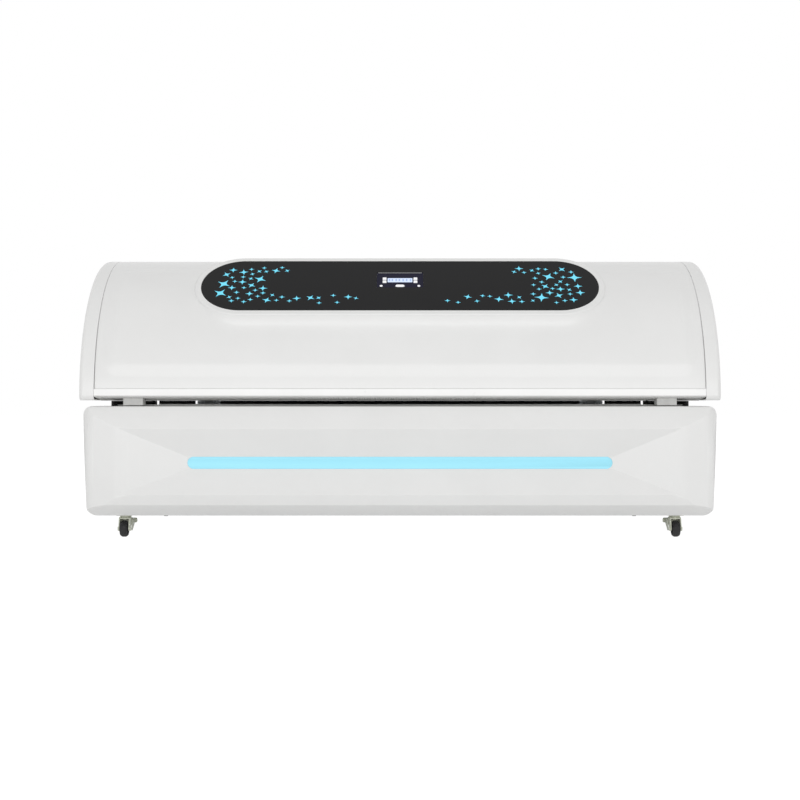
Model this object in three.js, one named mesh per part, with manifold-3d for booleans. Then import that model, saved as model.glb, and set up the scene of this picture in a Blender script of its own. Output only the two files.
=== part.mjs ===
// A closed clamshell light therapy bed on four casters.
// Millimetres. X runs along the bed, Y from the front (-) to the rear (+), Z up from the floor.
import * as THREE from 'three';
import { mergeVertices } from 'three/addons/utils/BufferGeometryUtils.js';
import Module from 'manifold-3d';

const wasm = await Module();
wasm.setup();

// Clearances and walls
const fitGap = 0.3;
const seamGap = 0.6;
const runGap = 0.3;
const cutOverrun = 30;
const shellWall = 4;
const weldDistance = 0.001;

// Casters: their height is what the base stands on
const wheelRadius = 25;
const wheelWidth = 23;
const wheelHubRadius = 9;
const wheelHubProud = 2.2;
const wheelRound = 4;
const wheelShoulderShare = 1.5;
const axleRadius = 4;
const axleHeadRadius = 6.5;
const axleHeadWidth = 3;
const forkWall = 3;
const forkTopRadius = 19;
const forkTopThickness = 4;
const forkHeadroom = 4.7;
const forkLegWidth = 22;
const kingpinRadius = 5;
const kingpinHead = 9;
const kingpinHeadThickness = 3;
const racewayRadius = 16;
const casterTrail = 18;
const casterPlateLength = 50;
const casterPlateDepth = 52;
const casterPlateThickness = 3;
const casterHeadHeight = 6;
const pedalReach = 36;
const pedalThickness = 2.5;
const pedalTread = 17;
const pedalPadLength = 54;
const pedalPadHeight = 15;
const pedalPadCorner = 4;
const pedalCheekWall = 2;
const pedalCheekDrop = 31;
const pedalCheekFoot = 11;
const pedalPivotRadius = 3;
const pedalEyeWall = 1.5;
const pedalCamReach = 7.5;
const pedalCamDrop = 10;
const pedalCamThickness = 4;

// Base body: a side outline, an end outline and a plan outline meet in it
const baseBottomZ = 2 * wheelRadius + forkHeadroom + forkTopThickness + runGap + casterHeadHeight
  + casterPlateThickness;
const baseHeight = 336;
const baseTopZ = baseBottomZ + baseHeight;

// Lid: an outer half ellipse over a tunnel that is open at both ends
const lidLength = 1940;
const lidHalfLength = lidLength / 2;
const lidHalfDepth = 450;
const lidRise = 460;
const lidLift = 16;
const lidSpringZ = baseTopZ + lidLift;
const lidWallDepth = 105;
const tunnelHalfWidth = lidHalfDepth - lidWallDepth;
const tunnelRise = lidRise - lidWallDepth;
const capWidth = 47;
const capRound = 15;
const capDrop = 1;
const capBottomZ = lidSpringZ - capDrop;
const capCorner = 14;
const shellHalfLength = lidHalfLength - capWidth;
const lidRimHeight = 13;
const lidRimZ = lidSpringZ + lidRimHeight;
const hemHeight = 20;
const hemProud = 2;
const hemBlend = 3;

// Embossed panel in the front of the lid
const panelDepth = 6;
const panelFlank = 48;
const panelEndInset = 14;
const panelBottomHeight = 68;
const panelBottomZ = lidSpringZ + panelBottomHeight;
const panelTopInset = 245;
const panelTopY = lidHalfDepth - panelTopInset;
const panelCorner = 60;

// Flat boss for the control fascia
const fasciaTiltDeg = 40.6;
const fasciaFrontShare = 0.6511;
const fasciaUpShare = 0.7761;
const fasciaCentreY = -lidHalfDepth * fasciaFrontShare;
const fasciaCentreZ = lidSpringZ + lidRise * fasciaUpShare;
const fasciaEndInset = 298.5;
const fasciaLength = 2 * (shellHalfLength - fasciaEndInset);
const fasciaHeight = 270;
const fasciaThickness = 3;
const bossBorder = 17;
const bossSink = 70;
const bossFlareShare = 0.65;
const bossEdgeRound = 6;

// Display and key module in the fascia
const moduleLength = 145;
const moduleHeight = 79;
const moduleUpSlope = 32;
const moduleSink = 1;
const moduleDepth = 26;
const moduleLedge = 2.5;
const screenLength = 78;
const screenHeight = 27;
const screenProud = 0.5;
const startKeyLength = 28.5;
const startKeyHeight = 12;
const startKeyDrop = 30;
const arrowKeySize = 12;
const arrowKeyX = 48.5;
const arrowKeyUp = 8;
const arrowKeyCorner = 2;
const keyProud = 0.8;
const keyDepth = 5;
const keyTravel = 0.8;
const lampKeyRadius = 5.5;
const lampKeyX = 59;

// Base outline
const baseEndInset = 5;
const baseTopHalfLength = lidHalfLength - baseEndInset;
const baseEndLean = 13;
const baseFootHalfLength = baseTopHalfLength - baseEndLean;
const baseTopCorner = 36;
const baseFootCorner = 28;
const baseFrontInset = 2;
const baseFrontY = -(lidHalfDepth - baseFrontInset);
const baseTopSetBack = 23;
const baseFrontTopY = baseFrontY + baseTopSetBack;
const baseTopBand = 72;
const baseRidgeZ = baseTopZ - baseTopBand;
const baseFootBand = 65;
const baseLowRidgeZ = baseBottomZ + baseFootBand;
const baseTuckHeight = 34;
const baseTuckZ = baseBottomZ + baseTuckHeight;
const baseTuckSetBack = 8;
const baseTuckY = baseFrontY + baseTuckSetBack;
const baseToeSetBack = 43;
const baseToeY = baseFrontY + baseToeSetBack;
const baseRearInset = 15;
const baseRearY = lidHalfDepth - baseRearInset;
const baseRearToeSetBack = 20;
const baseRearToeY = baseRearY - baseRearToeSetBack;
const baseFacetRun = 120;
const baseFacetX = baseTopHalfLength - baseFacetRun;
const baseFacetDeg = 9.4;
const baseFrontCorner = 50;
const baseRearCorner = 35;

// Envelope-shaped valley and light strip of the front cover
const valleyEndInset = 125;
const valleyHalfLength = baseTopHalfLength - valleyEndInset;
const valleyEndRun = 194;
const valleyFloorHalfLength = valleyHalfLength - valleyEndRun;
const valleyDepth = 35;
const valleyFloorHeight = 36;
const stripRise = 96;
const stripCentreZ = baseLowRidgeZ + stripRise;
const stripEndInset = 0.5;
const stripLength = 2 * (valleyFloorHalfLength - stripEndInset);
const stripHeight = valleyFloorHeight - 2 * fitGap;
const stripThickness = 5;
const stripFlange = 6;
const stripFlangeWall = 3;
const stripBoardHeight = 30;
const stripBoardDepth = 14;
const stripBoardWall = 3;

// Bed well: sheet, rails, LED board and tray
const wellEndInset = 97;
const wellHalfLength = baseTopHalfLength - wellEndInset;
const wellSideMargin = 17;
const wellHalfWidth = tunnelHalfWidth + wellSideMargin;
const sheetSag = 55;
const sheetEdgeDrop = 6;
const sheetEdgeZ = baseTopZ - sheetEdgeDrop;
const sheetWall = 6;
const bedLedDrop = 14;
const bedLedWall = 3;
const trayDrop = 20;
const trayWall = 2;
const trayTopDrop = 30;
const trayTopZ = baseTopZ - trayTopDrop;
const bedRailDrop = 28;
const bedRailBottomZ = baseTopZ - bedRailDrop;
const bedRailLip = 10;
const bedRailTop = 2;
const bedRailLedge = 14;
const coverSplitInset = 22;
const coverSplitY = wellHalfWidth - coverSplitInset;

// Lid rails, liner, LED panel and steel frame
const railThickness = 2.8;
const railOuterInset = 1;
const railInnerDrop = 0.8;
const railInnerZ = capBottomZ - railInnerDrop;
const railFlange = 20;
const railFlangeWall = 2.5;
const linerWall = 4;
const lidLedSpace = 26;
const lidLedWall = 3;
const lidLedLift = 8;
const lidLedBottomZ = lidRimZ + lidLedLift;
const lidArchDepth = 25;
const lidArchWidth = 8;
const lidBeamHeight = 25;
const lidBeamDepth = 46;
const lidBeamWall = 3;
const bufferLength = 60;
const bufferDepth = 48;
const bufferEndInset = 58;
const bufferX = wellHalfLength - bufferEndInset;
const bufferInset = 28;

// Base frame of steel angle
const frameWall = 3;
const frameEndInset = 67;
const frameHalfLength = baseFootHalfLength - frameEndInset;
const frameTopSideLeg = 26;
const frameHalfWidth = wellHalfWidth + frameTopSideLeg;
const frameTopEndLeg = 12;
const frameTopHalfLength = wellHalfLength + frameTopEndLeg;
const frameLeg = 40;
const frameTopLegHeight = 40;
const framePostLeg = 35;
const crossBarX = 300;
const crossBarWidth = 40;
const trayBarHeight = 6;
const panWall = 1.5;
const casterEndInset = 38.5;
const casterX = frameHalfLength - casterEndInset;
const casterSideInset = 36;
const casterY = frameHalfWidth - casterSideInset;

// Hinges
const hingeEndInset = 168;
const hingeX = wellHalfLength - hingeEndInset;
const hingeInset = 10;
const hingeY = lidHalfDepth - hingeInset;
const hingeLift = 7;
const hingeZ = baseTopZ + hingeLift;
const knuckleRadius = 8;
const knuckleWidth = 30;
const bracketKnuckleWidth = 24;
const hingePinRadius = 4;
const hingePinHead = 6;
const hingePinHeadWidth = 3;
const hingeLeaf = 6;
const hingeLeafHeight = 46;
const hingeArmDepth = 14;

// Gas struts
const strutStandOff = 15;
const strutX = frameTopHalfLength + strutStandOff;
const strutFootInset = 48;
const strutFootY = frameHalfWidth - strutFootInset;
const strutFootDrop = 104;
const strutFootZ = baseTopZ - strutFootDrop;
const strutHeadInset = 60;
const strutHeadY = lidHalfDepth - strutHeadInset;
const strutHeadLift = 30;
const strutHeadZ = lidSpringZ + strutHeadLift;
const strutTubeRadius = 9;
const strutBoreRadius = 6;
const strutRodRadius = 4;
const strutTubeLength = 104;
const strutTubeWall = 6;
const strutPistonLift = 24;
const strutPistonLength = 6;
const strutEyeWidth = 12;
const strutStudRadius = 4;
const strutStudHead = 6;
const strutStudHeadWidth = 2.5;
const strutEyeSlack = 3.3;
const strutEyeWall = 3.5;
const strutFootPlate = 4;
const strutFootHeight = 36;

// Fans behind the grilles of the rear cover
const fanEndInset = 520;
const fanX = lidHalfLength - fanEndInset;
const fanRise = 162;
const fanZ = baseBottomZ + fanRise;
const fanSize = 150;
const fanDepth = 50;
const fanRimWall = 5;
const fanBoreRadius = fanSize / 2 - fanRimWall;
const fanHubRadius = 27;
const fanTipGap = 3;
const fanBladeTip = fanBoreRadius - fanTipGap;
const fanBladeCount = 7;
const fanBladeThickness = 2.5;
const fanBladeShare = 0.9;
const fanBladeTwistDeg = 34;
const fanTwistGrowShares = [0, 0.25, 0.5];
const fanEndGap = 0.9;
const fanShaftRadius = 4;
const fanMotorDepth = 12;
const fanSpokeCount = 3;
const fanSpokeWidth = 8;
const fanCornerRadius = 8;
const grilleSlotHeight = 7;
const grillePitch = 13;

// Mains inlet and rocker switch
const inletEndInset = 210;
const inletX = lidHalfLength - inletEndInset;
const inletRise = 102;
const inletZ = baseBottomZ + inletRise;
const inletLength = 96;
const inletHeight = 54;
const inletFlange = 6;
const inletFlangeWall = 3;
const inletBodyDepth = 40;
const socketLength = 30;
const socketHeight = 22;
const socketDepth = 18;
const socketPinSize = 4;
const socketPinSpacing = 9;
const switchLength = 20;
const switchHeight = 32;
const switchDepth = 9;
const switchTiltDeg = 10;
const switchPivotDepth = 7;

// Boxes on the floor pan
const supplyX = -300;
const supplyLength = 260;
const supplyDepth = 140;
const supplyHeight = 80;
const controlX = 300;
const controlLength = 220;
const controlDepth = 160;
const controlHeight = 90;
const boxChamfer = 6;
const boxFinPitch = 16;
const boxFinDepth = 5;
const boxFinWidth = 6;

// Facet counts, and the shares at which curved edges take a point
const archSteps = 20;
const stadiumSteps = 10;
const roundSteps = 12;
const pinSteps = 10;
const wheelSteps = 16;
const nutSides = 6;
const cornerSteps = 4;
const frontCornerSteps = 6;
const smallCornerSteps = 2;
const sheetSteps = 14;
const lidLedFacets = 8;
const bedLedFacets = 5;
const panelLowSteps = 5;
const panelMidSteps = 8;
const panelHighSteps = 4;
const crownSteps = 3;
const rearSteps = 12;
const flankShares = [0, 0.25, 0.5, 0.75, 1];
const bossEdgeShares = [0, 0.3, 1];
const capRoundShares = [0, 0.7, 1];

// Sizes that several pieces share
const fasciaTilt = THREE.MathUtils.degToRad(fasciaTiltDeg);
const sheetHalfWidth = tunnelHalfWidth;
const sheetRadius = (sheetHalfWidth ** 2 + sheetSag ** 2) / (2 * sheetSag);
const sheetCentreZ = sheetEdgeZ - sheetSag + sheetRadius;
const valleyFloorY = baseFrontY + valleyDepth;
const frameTopZ = baseTopZ - shellWall - fitGap;
const railOuterY = lidHalfDepth - railOuterInset;
const railSlope = (lidRimZ - railThickness - fitGap - railInnerZ) / (railOuterY - tunnelHalfWidth);
const railZ = (y) => railInnerZ + (y - tunnelHalfWidth) * railSlope;
const linerBottomZ = railZ(tunnelHalfWidth + linerWall) + railThickness + fitGap;

// Turns a closed three.js geometry into a solid that can be cut and joined.
function solidFrom(geometry) {
  const loose = geometry.index ? geometry.toNonIndexed() : geometry.clone();
  loose.deleteAttribute('normal');
  loose.deleteAttribute('uv');
  const merged = mergeVertices(loose, weldDistance);
  const positions = merged.getAttribute('position').array;
  const corners = merged.index.array;
  const triangles = [];
  for (let i = 0; i < corners.length; i += 3) {
    const [a, b, c] = [corners[i], corners[i + 1], corners[i + 2]];
    if (a !== b && b !== c && c !== a) triangles.push([a, b, c]);
  }
  const point = (i) => new THREE.Vector3().fromArray(positions, 3 * i);
  const volume = triangles.reduce((sum, [a, b, c]) => sum + point(a).dot(point(b).cross(point(c))), 0);
  const ordered = volume < 0 ? triangles.map(([a, b, c]) => [a, c, b]) : triangles;
  return new wasm.Manifold(new wasm.Mesh({
    numProp: 3,
    vertProperties: new Float32Array(positions),
    triVerts: new Uint32Array(ordered.flat()),
  }));
}

// The solid's faces as a geometry, with neighbouring facets of one plane merged first.
function geometryFrom(solid) {
  const mesh = solid.asOriginal().simplify(weldDistance).getMesh();
  const geometry = new THREE.BufferGeometry();
  geometry.setAttribute('position', new THREE.Float32BufferAttribute(mesh.vertProperties, 3));
  geometry.setIndex(new THREE.Uint32BufferAttribute(mesh.triVerts, 1));
  geometry.computeVertexNormals();
  return geometry;
}

const joined = (solids) => solids.reduce((whole, solid) => whole.add(solid));
const cut = (solid, tools) => tools.reduce((left, tool) => left.subtract(tool), solid);

// Prisms along each axis from a list of [across, up] points.
function prism(outline, length) {
  const shape = new THREE.Shape(outline.map(([u, v]) => new THREE.Vector2(u, v)));
  return new THREE.ExtrudeGeometry(shape, { depth: length, bevelEnabled: false, steps: 1 });
}

function prismX(outline, xFrom, xTo) {
  const turn = new THREE.Matrix4().makeBasis(
    new THREE.Vector3(0, 1, 0), new THREE.Vector3(0, 0, 1), new THREE.Vector3(1, 0, 0));
  return solidFrom(prism(outline, xTo - xFrom).applyMatrix4(turn).translate(xFrom, 0, 0));
}

function prismY(outline, yFrom, yTo) {
  const turn = new THREE.Matrix4().makeBasis(
    new THREE.Vector3(1, 0, 0), new THREE.Vector3(0, 0, 1), new THREE.Vector3(0, -1, 0));
  return solidFrom(prism(outline, yTo - yFrom).applyMatrix4(turn).translate(0, yTo, 0));
}

function prismZ(outline, zFrom, zTo) {
  return solidFrom(prism(outline, zTo - zFrom).translate(0, 0, zFrom));
}

function box(xFrom, xTo, yFrom, yTo, zFrom, zTo) {
  const geometry = new THREE.BoxGeometry(xTo - xFrom, yTo - yFrom, zTo - zFrom);
  return solidFrom(geometry.translate((xFrom + xTo) / 2, (yFrom + yTo) / 2, (zFrom + zTo) / 2));
}

// Turned pieces: the profile is a list of [radius, along] points.
function turned(profile, axis, segments) {
  const geometry = new THREE.LatheGeometry(profile.map(([r, h]) => new THREE.Vector2(r, h)), segments);
  if (axis === 'x') geometry.rotateZ(-Math.PI / 2);
  if (axis === 'z') geometry.rotateX(Math.PI / 2);
  return solidFrom(geometry);
}

function rod(radius, from, to, axis, segments) {
  return turned([[0, from], [radius, from], [radius, to], [0, to]], axis, segments);
}

// Joins rings of points that lie in planes across flatAxis.
function loft(rings, flatAxis) {
  const count = rings[0].length;
  const keys = ['x', 'y', 'z'].filter((key) => key !== flatAxis);
  const positions = rings.flat().flatMap((p) => [p.x, p.y, p.z]);
  const index = [];
  for (let r = 0; r + 1 < rings.length; r += 1) {
    for (let i = 0; i < count; i += 1) {
      const a = r * count + i;
      const b = r * count + ((i + 1) % count);
      index.push(a, b, b + count, a, b + count, a + count);
    }
  }
  const cap = (ring, first, along) => {
    const flat = ring.map((p) => new THREE.Vector2(p[keys[0]], p[keys[1]]));
    const ringWay = Math.sign(THREE.ShapeUtils.area(flat));
    THREE.ShapeUtils.triangulateShape(flat, []).forEach(([a, b, c]) => {
      const way = Math.sign(THREE.ShapeUtils.area([flat[a], flat[b], flat[c]]));
      const order = (way === ringWay) === along ? [a, b, c] : [a, c, b];
      index.push(...order.map((i) => i + first));
    });
  };
  cap(rings[0], 0, false);
  cap(rings[rings.length - 1], (rings.length - 1) * count, true);
  const geometry = new THREE.BufferGeometry();
  geometry.setAttribute('position', new THREE.Float32BufferAttribute(positions, 3));
  geometry.setIndex(index);
  return solidFrom(geometry);
}

// Outlines
function arc(centreU, centreV, radius, fromAngle, toAngle, steps) {
  return Array.from({ length: steps + 1 }, (_, i) => {
    const angle = fromAngle + ((toAngle - fromAngle) * i) / steps;
    return [centreU + radius * Math.cos(angle), centreV + radius * Math.sin(angle)];
  });
}

const circle = (u, v, radius, steps) => arc(u, v, radius, 0, 2 * Math.PI, steps).slice(0, -1);

function stadium(length, height, steps) {
  const radius = height / 2;
  const reach = length / 2 - radius;
  const right = arc(reach, 0, radius, -Math.PI / 2, Math.PI / 2, steps);
  const left = arc(-reach, 0, radius, Math.PI / 2, (3 * Math.PI) / 2, steps);
  return [...right, ...left];
}

function roundedRect(uFrom, uTo, vFrom, vTo, radius, steps) {
  return [
    ...arc(uTo - radius, vFrom + radius, radius, -Math.PI / 2, 0, steps),
    ...arc(uTo - radius, vTo - radius, radius, 0, Math.PI / 2, steps),
    ...arc(uFrom + radius, vTo - radius, radius, Math.PI / 2, Math.PI, steps),
    ...arc(uFrom + radius, vFrom + radius, radius, Math.PI, (3 * Math.PI) / 2, steps),
  ];
}

const moved = (outline, du, dv) => outline.map(([u, v]) => [u + du, v + dv]);

// Moves every edge of a convex, anticlockwise outline inwards by the same distance.
function inset(outline, distance) {
  const line = (i) => {
    const [u0, v0] = outline[i];
    const [u1, v1] = outline[(i + 1) % outline.length];
    const length = Math.hypot(u1 - u0, v1 - v0);
    const normal = [-(v1 - v0) / length, (u1 - u0) / length];
    return { normal, offset: normal[0] * u0 + normal[1] * v0 + distance };
  };
  return outline.map((_, i) => {
    const first = line((i + outline.length - 1) % outline.length);
    const second = line(i);
    const det = first.normal[0] * second.normal[1] - first.normal[1] * second.normal[0];
    return [
      (first.offset * second.normal[1] - second.offset * first.normal[1]) / det,
      (first.normal[0] * second.offset - second.normal[0] * first.offset) / det,
    ];
  });
}

// Point on a half ellipse about the springing line, with its outward normal.
function ellipsePoint(halfWidth, rise, angle, inward) {
  const normal = new THREE.Vector2(Math.cos(angle) / halfWidth, Math.sin(angle) / rise).normalize();
  return [
    halfWidth * Math.cos(angle) - inward * normal.x,
    lidSpringZ + rise * Math.sin(angle) - inward * normal.y,
  ];
}

const angleAt = (rise, z) => Math.asin((z - lidSpringZ) / rise);
const ellipseY = (halfWidth, rise, z) => halfWidth * Math.cos(angleAt(rise, z));

// Arch from its rear foot over the top to its front foot.
function archLine(halfWidth, rise, bottomZ, steps) {
  const foot = angleAt(rise, bottomZ);
  return Array.from({ length: steps + 1 }, (_, i) => (
    ellipsePoint(halfWidth, rise, foot + ((Math.PI - 2 * foot) * i) / steps, 0)));
}

function archBand(innerHalfWidth, innerRise, thickness, bottomZ, steps) {
  return [
    ...archLine(innerHalfWidth + thickness, innerRise + thickness, bottomZ, steps),
    ...archLine(innerHalfWidth, innerRise, bottomZ, steps).reverse(),
  ];
}

const root = new THREE.Group();

function finish(colour, roughness, metalness) {
  return () => new THREE.MeshStandardMaterial({ color: colour, roughness, metalness });
}

const whiteShell = finish(0xf2f2f2, 0.25, 0);
const blackGloss = finish(0x2b2b2d, 0.2, 0);
const aluminium = finish(0xb9bcbd, 0.35, 1);
const steelPaint = finish(0x8d9296, 0.5, 0.6);
const clearSheet = finish(0xdfe8ea, 0.08, 0);
const ledBoard = finish(0xefe9e4, 0.5, 0.1);
const lampBlue = finish(0xa2e6fb, 0.4, 0);
const rubber = finish(0xc4c4c2, 0.8, 0);
const tyreBlack = finish(0x1d1d1f, 0.55, 0);
const casterPaint = finish(0xd4d6c2, 0.4, 0.3);
const brightSteel = finish(0xc8c8c8, 0.25, 1);
const blackPlastic = finish(0x222224, 0.5, 0);
const keyWhite = finish(0xf4f6fa, 0.35, 0);

function addPiece(name, solid, material, parent = root) {
  const mesh = new THREE.Mesh(geometryFrom(solid), material());
  mesh.name = name;
  parent.add(mesh);
  return mesh;
}

const sides = [['left', -1], ['right', 1]];

// Lid shell
function panelShare(x, angle) {
  // Full depth inside the panel, none outside, with a soft flank round rounded corners.
  const [y, z] = ellipsePoint(lidHalfDepth, lidRise, angle, 0);
  if (y > 0) return 0;
  const radius = (lidHalfDepth + lidRise) / 2;
  const low = angleAt(lidRise, panelBottomZ);
  const high = Math.acos(panelTopY / lidHalfDepth);
  const up = angleAt(lidRise, z);
  const fromEnd = shellHalfLength - panelEndInset - Math.abs(x);
  const fromEdge = Math.min(up - low, high - up) * radius;
  const du = Math.max(panelCorner - fromEnd, 0);
  const dv = Math.max(panelCorner - fromEdge, 0);
  const inside = panelCorner - Math.hypot(du, dv);
  return THREE.MathUtils.smoothstep(inside, 0, panelFlank);
}

function shellAngles() {
  const hem = [lidRimZ, lidRimZ + hemHeight, lidRimZ + hemHeight + hemBlend];
  const low = hem.map((z) => angleAt(lidRise, z));
  const start = angleAt(lidRise, panelBottomZ);
  const flank = panelFlank / lidRise;
  const end = Math.acos(panelTopY / lidHalfDepth);
  const spread = (from, to, steps) => (
    Array.from({ length: steps }, (_, i) => from + ((to - from) * i) / steps));
  const front = [
    ...low, ...spread(start, start + flank, panelLowSteps),
    ...spread(start + flank, end - flank, panelMidSteps),
    ...spread(end - flank, end, panelHighSteps), ...spread(end, Math.PI / 2, crownSteps),
  ];
  const rear = [...low, ...spread(start, Math.PI / 2, rearSteps), Math.PI / 2];
  return [...rear, ...front.map((angle) => Math.PI - angle).reverse()];
}

function lidBody(inward, reach, bottomZ) {
  const angles = shellAngles();
  const edge = shellHalfLength - panelEndInset;
  const inner = flankShares.map((share) => edge - panelFlank * share);
  const half = [reach, ...inner.filter((x) => x < reach), edge - panelFlank - panelCorner];
  const stations = [...half, ...half.map((x) => -x).reverse()];
  const hemAngle = angleAt(lidRise, lidRimZ + hemHeight + hemBlend / 2);
  const rings = stations.map((x) => {
    const outline = angles.map((angle) => {
      const onHem = Math.min(angle, Math.PI - angle) < hemAngle;
      const sink = onHem ? 0 : hemProud + panelDepth * panelShare(x, angle);
      return ellipsePoint(lidHalfDepth, lidRise, angle, inward + sink);
    });
    const rear = [outline[0][0], bottomZ];
    const front = [outline[outline.length - 1][0], bottomZ];
    return [rear, ...outline, front].map(([y, z]) => new THREE.Vector3(x, y, z));
  });
  return loft(rings, 'x');
}

const fasciaPlane = new THREE.Matrix4().makeRotationX(fasciaTilt)
  .setPosition(0, fasciaCentreY, fasciaCentreZ);

function onFascia(solid) {
  return solidFrom(geometryFrom(solid).applyMatrix4(fasciaPlane));
}

// Boss rings in the fascia plane: a rounded edge, then a flank that flares towards the shell.
function bossBody(inward, floor) {
  const length = fasciaLength + 2 * bossBorder;
  const height = fasciaHeight + 2 * bossBorder;
  const rim = bossEdgeShares.map((share) => [
    -floor - bossEdgeRound * share,
    -bossEdgeRound * Math.sqrt(1 - share * (2 - share)) - inward,
  ]);
  const flank = [-floor - bossSink, (bossSink - bossEdgeRound) * bossFlareShare - inward];
  const rings = [...rim, flank].map(([level, spread]) => (
    stadium(length + 2 * spread, height + 2 * spread, stadiumSteps)
      .map(([u, v]) => new THREE.Vector3(u, v, level))));
  return onFascia(loft(rings, 'z'));
}

function makeLidShell() {
  const outside = lidBody(0, shellHalfLength, lidRimZ).add(bossBody(0, 0));
  const seat = fasciaThickness + fitGap;
  const inside = lidBody(shellWall, shellHalfLength + cutOverrun, lidRimZ - cutOverrun)
    .add(bossBody(shellWall, seat + shellWall));
  const pocket = prismZ(
    stadium(fasciaLength + 2 * fitGap, fasciaHeight + 2 * fitGap, stadiumSteps), -seat, cutOverrun);
  const window = box(
    -moduleLength / 2 + moduleLedge - fitGap, moduleLength / 2 - moduleLedge + fitGap,
    moduleUpSlope - moduleHeight / 2 + moduleLedge - fitGap,
    moduleUpSlope + moduleHeight / 2 - moduleLedge + fitGap, -seat - cutOverrun, 0);
  return cut(outside, [inside, onFascia(pocket), onFascia(window)]);
}

// Cap ring: the outer arch with a rounded lower corner, and the tunnel arch.
function capOutline(inward, innerGrow, bottomZ, corner) {
  const outer = archLine(lidHalfDepth - inward, lidRise - inward, bottomZ + corner, archSteps);
  const half = lidHalfDepth - inward - corner;
  const rearCorner = arc(half, bottomZ + corner, corner, -Math.PI / 2, 0, cornerSteps).slice(0, -1);
  const frontCorner = rearCorner.map(([y, z]) => [-y, z]).reverse();
  const inner = archLine(tunnelHalfWidth + innerGrow, tunnelRise + innerGrow, bottomZ, archSteps);
  return [...rearCorner, ...outer, ...frontCorner, ...inner.reverse()];
}

function makeLidCap(side) {
  const ring = (x, inward) => capOutline(inward, 0, capBottomZ + inward / 2, capCorner)
    .map(([y, z]) => new THREE.Vector3(side * x, y, z));
  const start = shellHalfLength + seamGap;
  const rings = [ring(start, 0), ...capRoundShares.map((share) => (
    ring(lidHalfLength - capRound * (1 - share), capRound * (1 - Math.sqrt(1 - share ** 2)))))];
  const cavity = capOutline(shellWall, shellWall, capBottomZ + shellWall, capCorner);
  const sleeve = archBand(tunnelHalfWidth, tunnelRise, shellWall, linerBottomZ, archSteps);
  const cavityFrom = start - cutOverrun;
  const cavityTo = lidHalfLength - capRound;
  const sleeveTo = start + shellWall;
  const solids = side > 0
    ? [prismX(cavity, cavityFrom, cavityTo), prismX(sleeve, wellHalfLength, sleeveTo)]
    : [prismX(cavity, -cavityTo, -cavityFrom), prismX(sleeve, -sleeveTo, -wellHalfLength)];
  return loft(rings, 'x').subtract(solids[0]).add(solids[1]);
}

// Lid rail: a sloping rim plate with an upright flange that holds the liner's foot.
function railOutline(way) {
  const flangeIn = tunnelHalfWidth + linerWall + fitGap;
  const flangeOut = flangeIn + railFlangeWall;
  const flangeTop = railZ(flangeOut) + railThickness + railFlange;
  return [
    [railOuterY, railZ(railOuterY)],
    [railOuterY, railZ(railOuterY) + railThickness],
    [flangeOut, railZ(flangeOut) + railThickness],
    [flangeOut, flangeTop],
    [flangeIn, flangeTop],
    [flangeIn, railZ(flangeIn) + railThickness],
    [tunnelHalfWidth, railZ(tunnelHalfWidth) + railThickness],
    [tunnelHalfWidth, railZ(tunnelHalfWidth)],
  ].map(([y, z]) => [way * y, z]);
}

function makeLidRearRail() {
  const notches = sides.map(([, side]) => box(
    side * hingeX - knuckleWidth / 2 - seamGap, side * hingeX + knuckleWidth / 2 + seamGap,
    hingeY - hingeArmDepth, lidHalfDepth, hingeZ, lidRimZ + railThickness));
  const reach = wellHalfLength - fitGap;
  return cut(prismX(railOutline(1), -reach, reach), notches);
}

// Steel lid frame: two beams, three arches, the hinge arms and the strut studs.
const lidLedIn = tunnelHalfWidth + lidLedSpace;
const lidLedInRise = tunnelRise + lidLedSpace;

function channelOutline(yFrom, yTo, zFrom, zTo, wall) {
  return [
    [yFrom, zFrom], [yTo, zFrom], [yTo, zTo], [yTo - wall, zTo],
    [yTo - wall, zFrom + wall], [yFrom + wall, zFrom + wall], [yFrom + wall, zTo], [yFrom, zTo],
  ];
}

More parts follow.
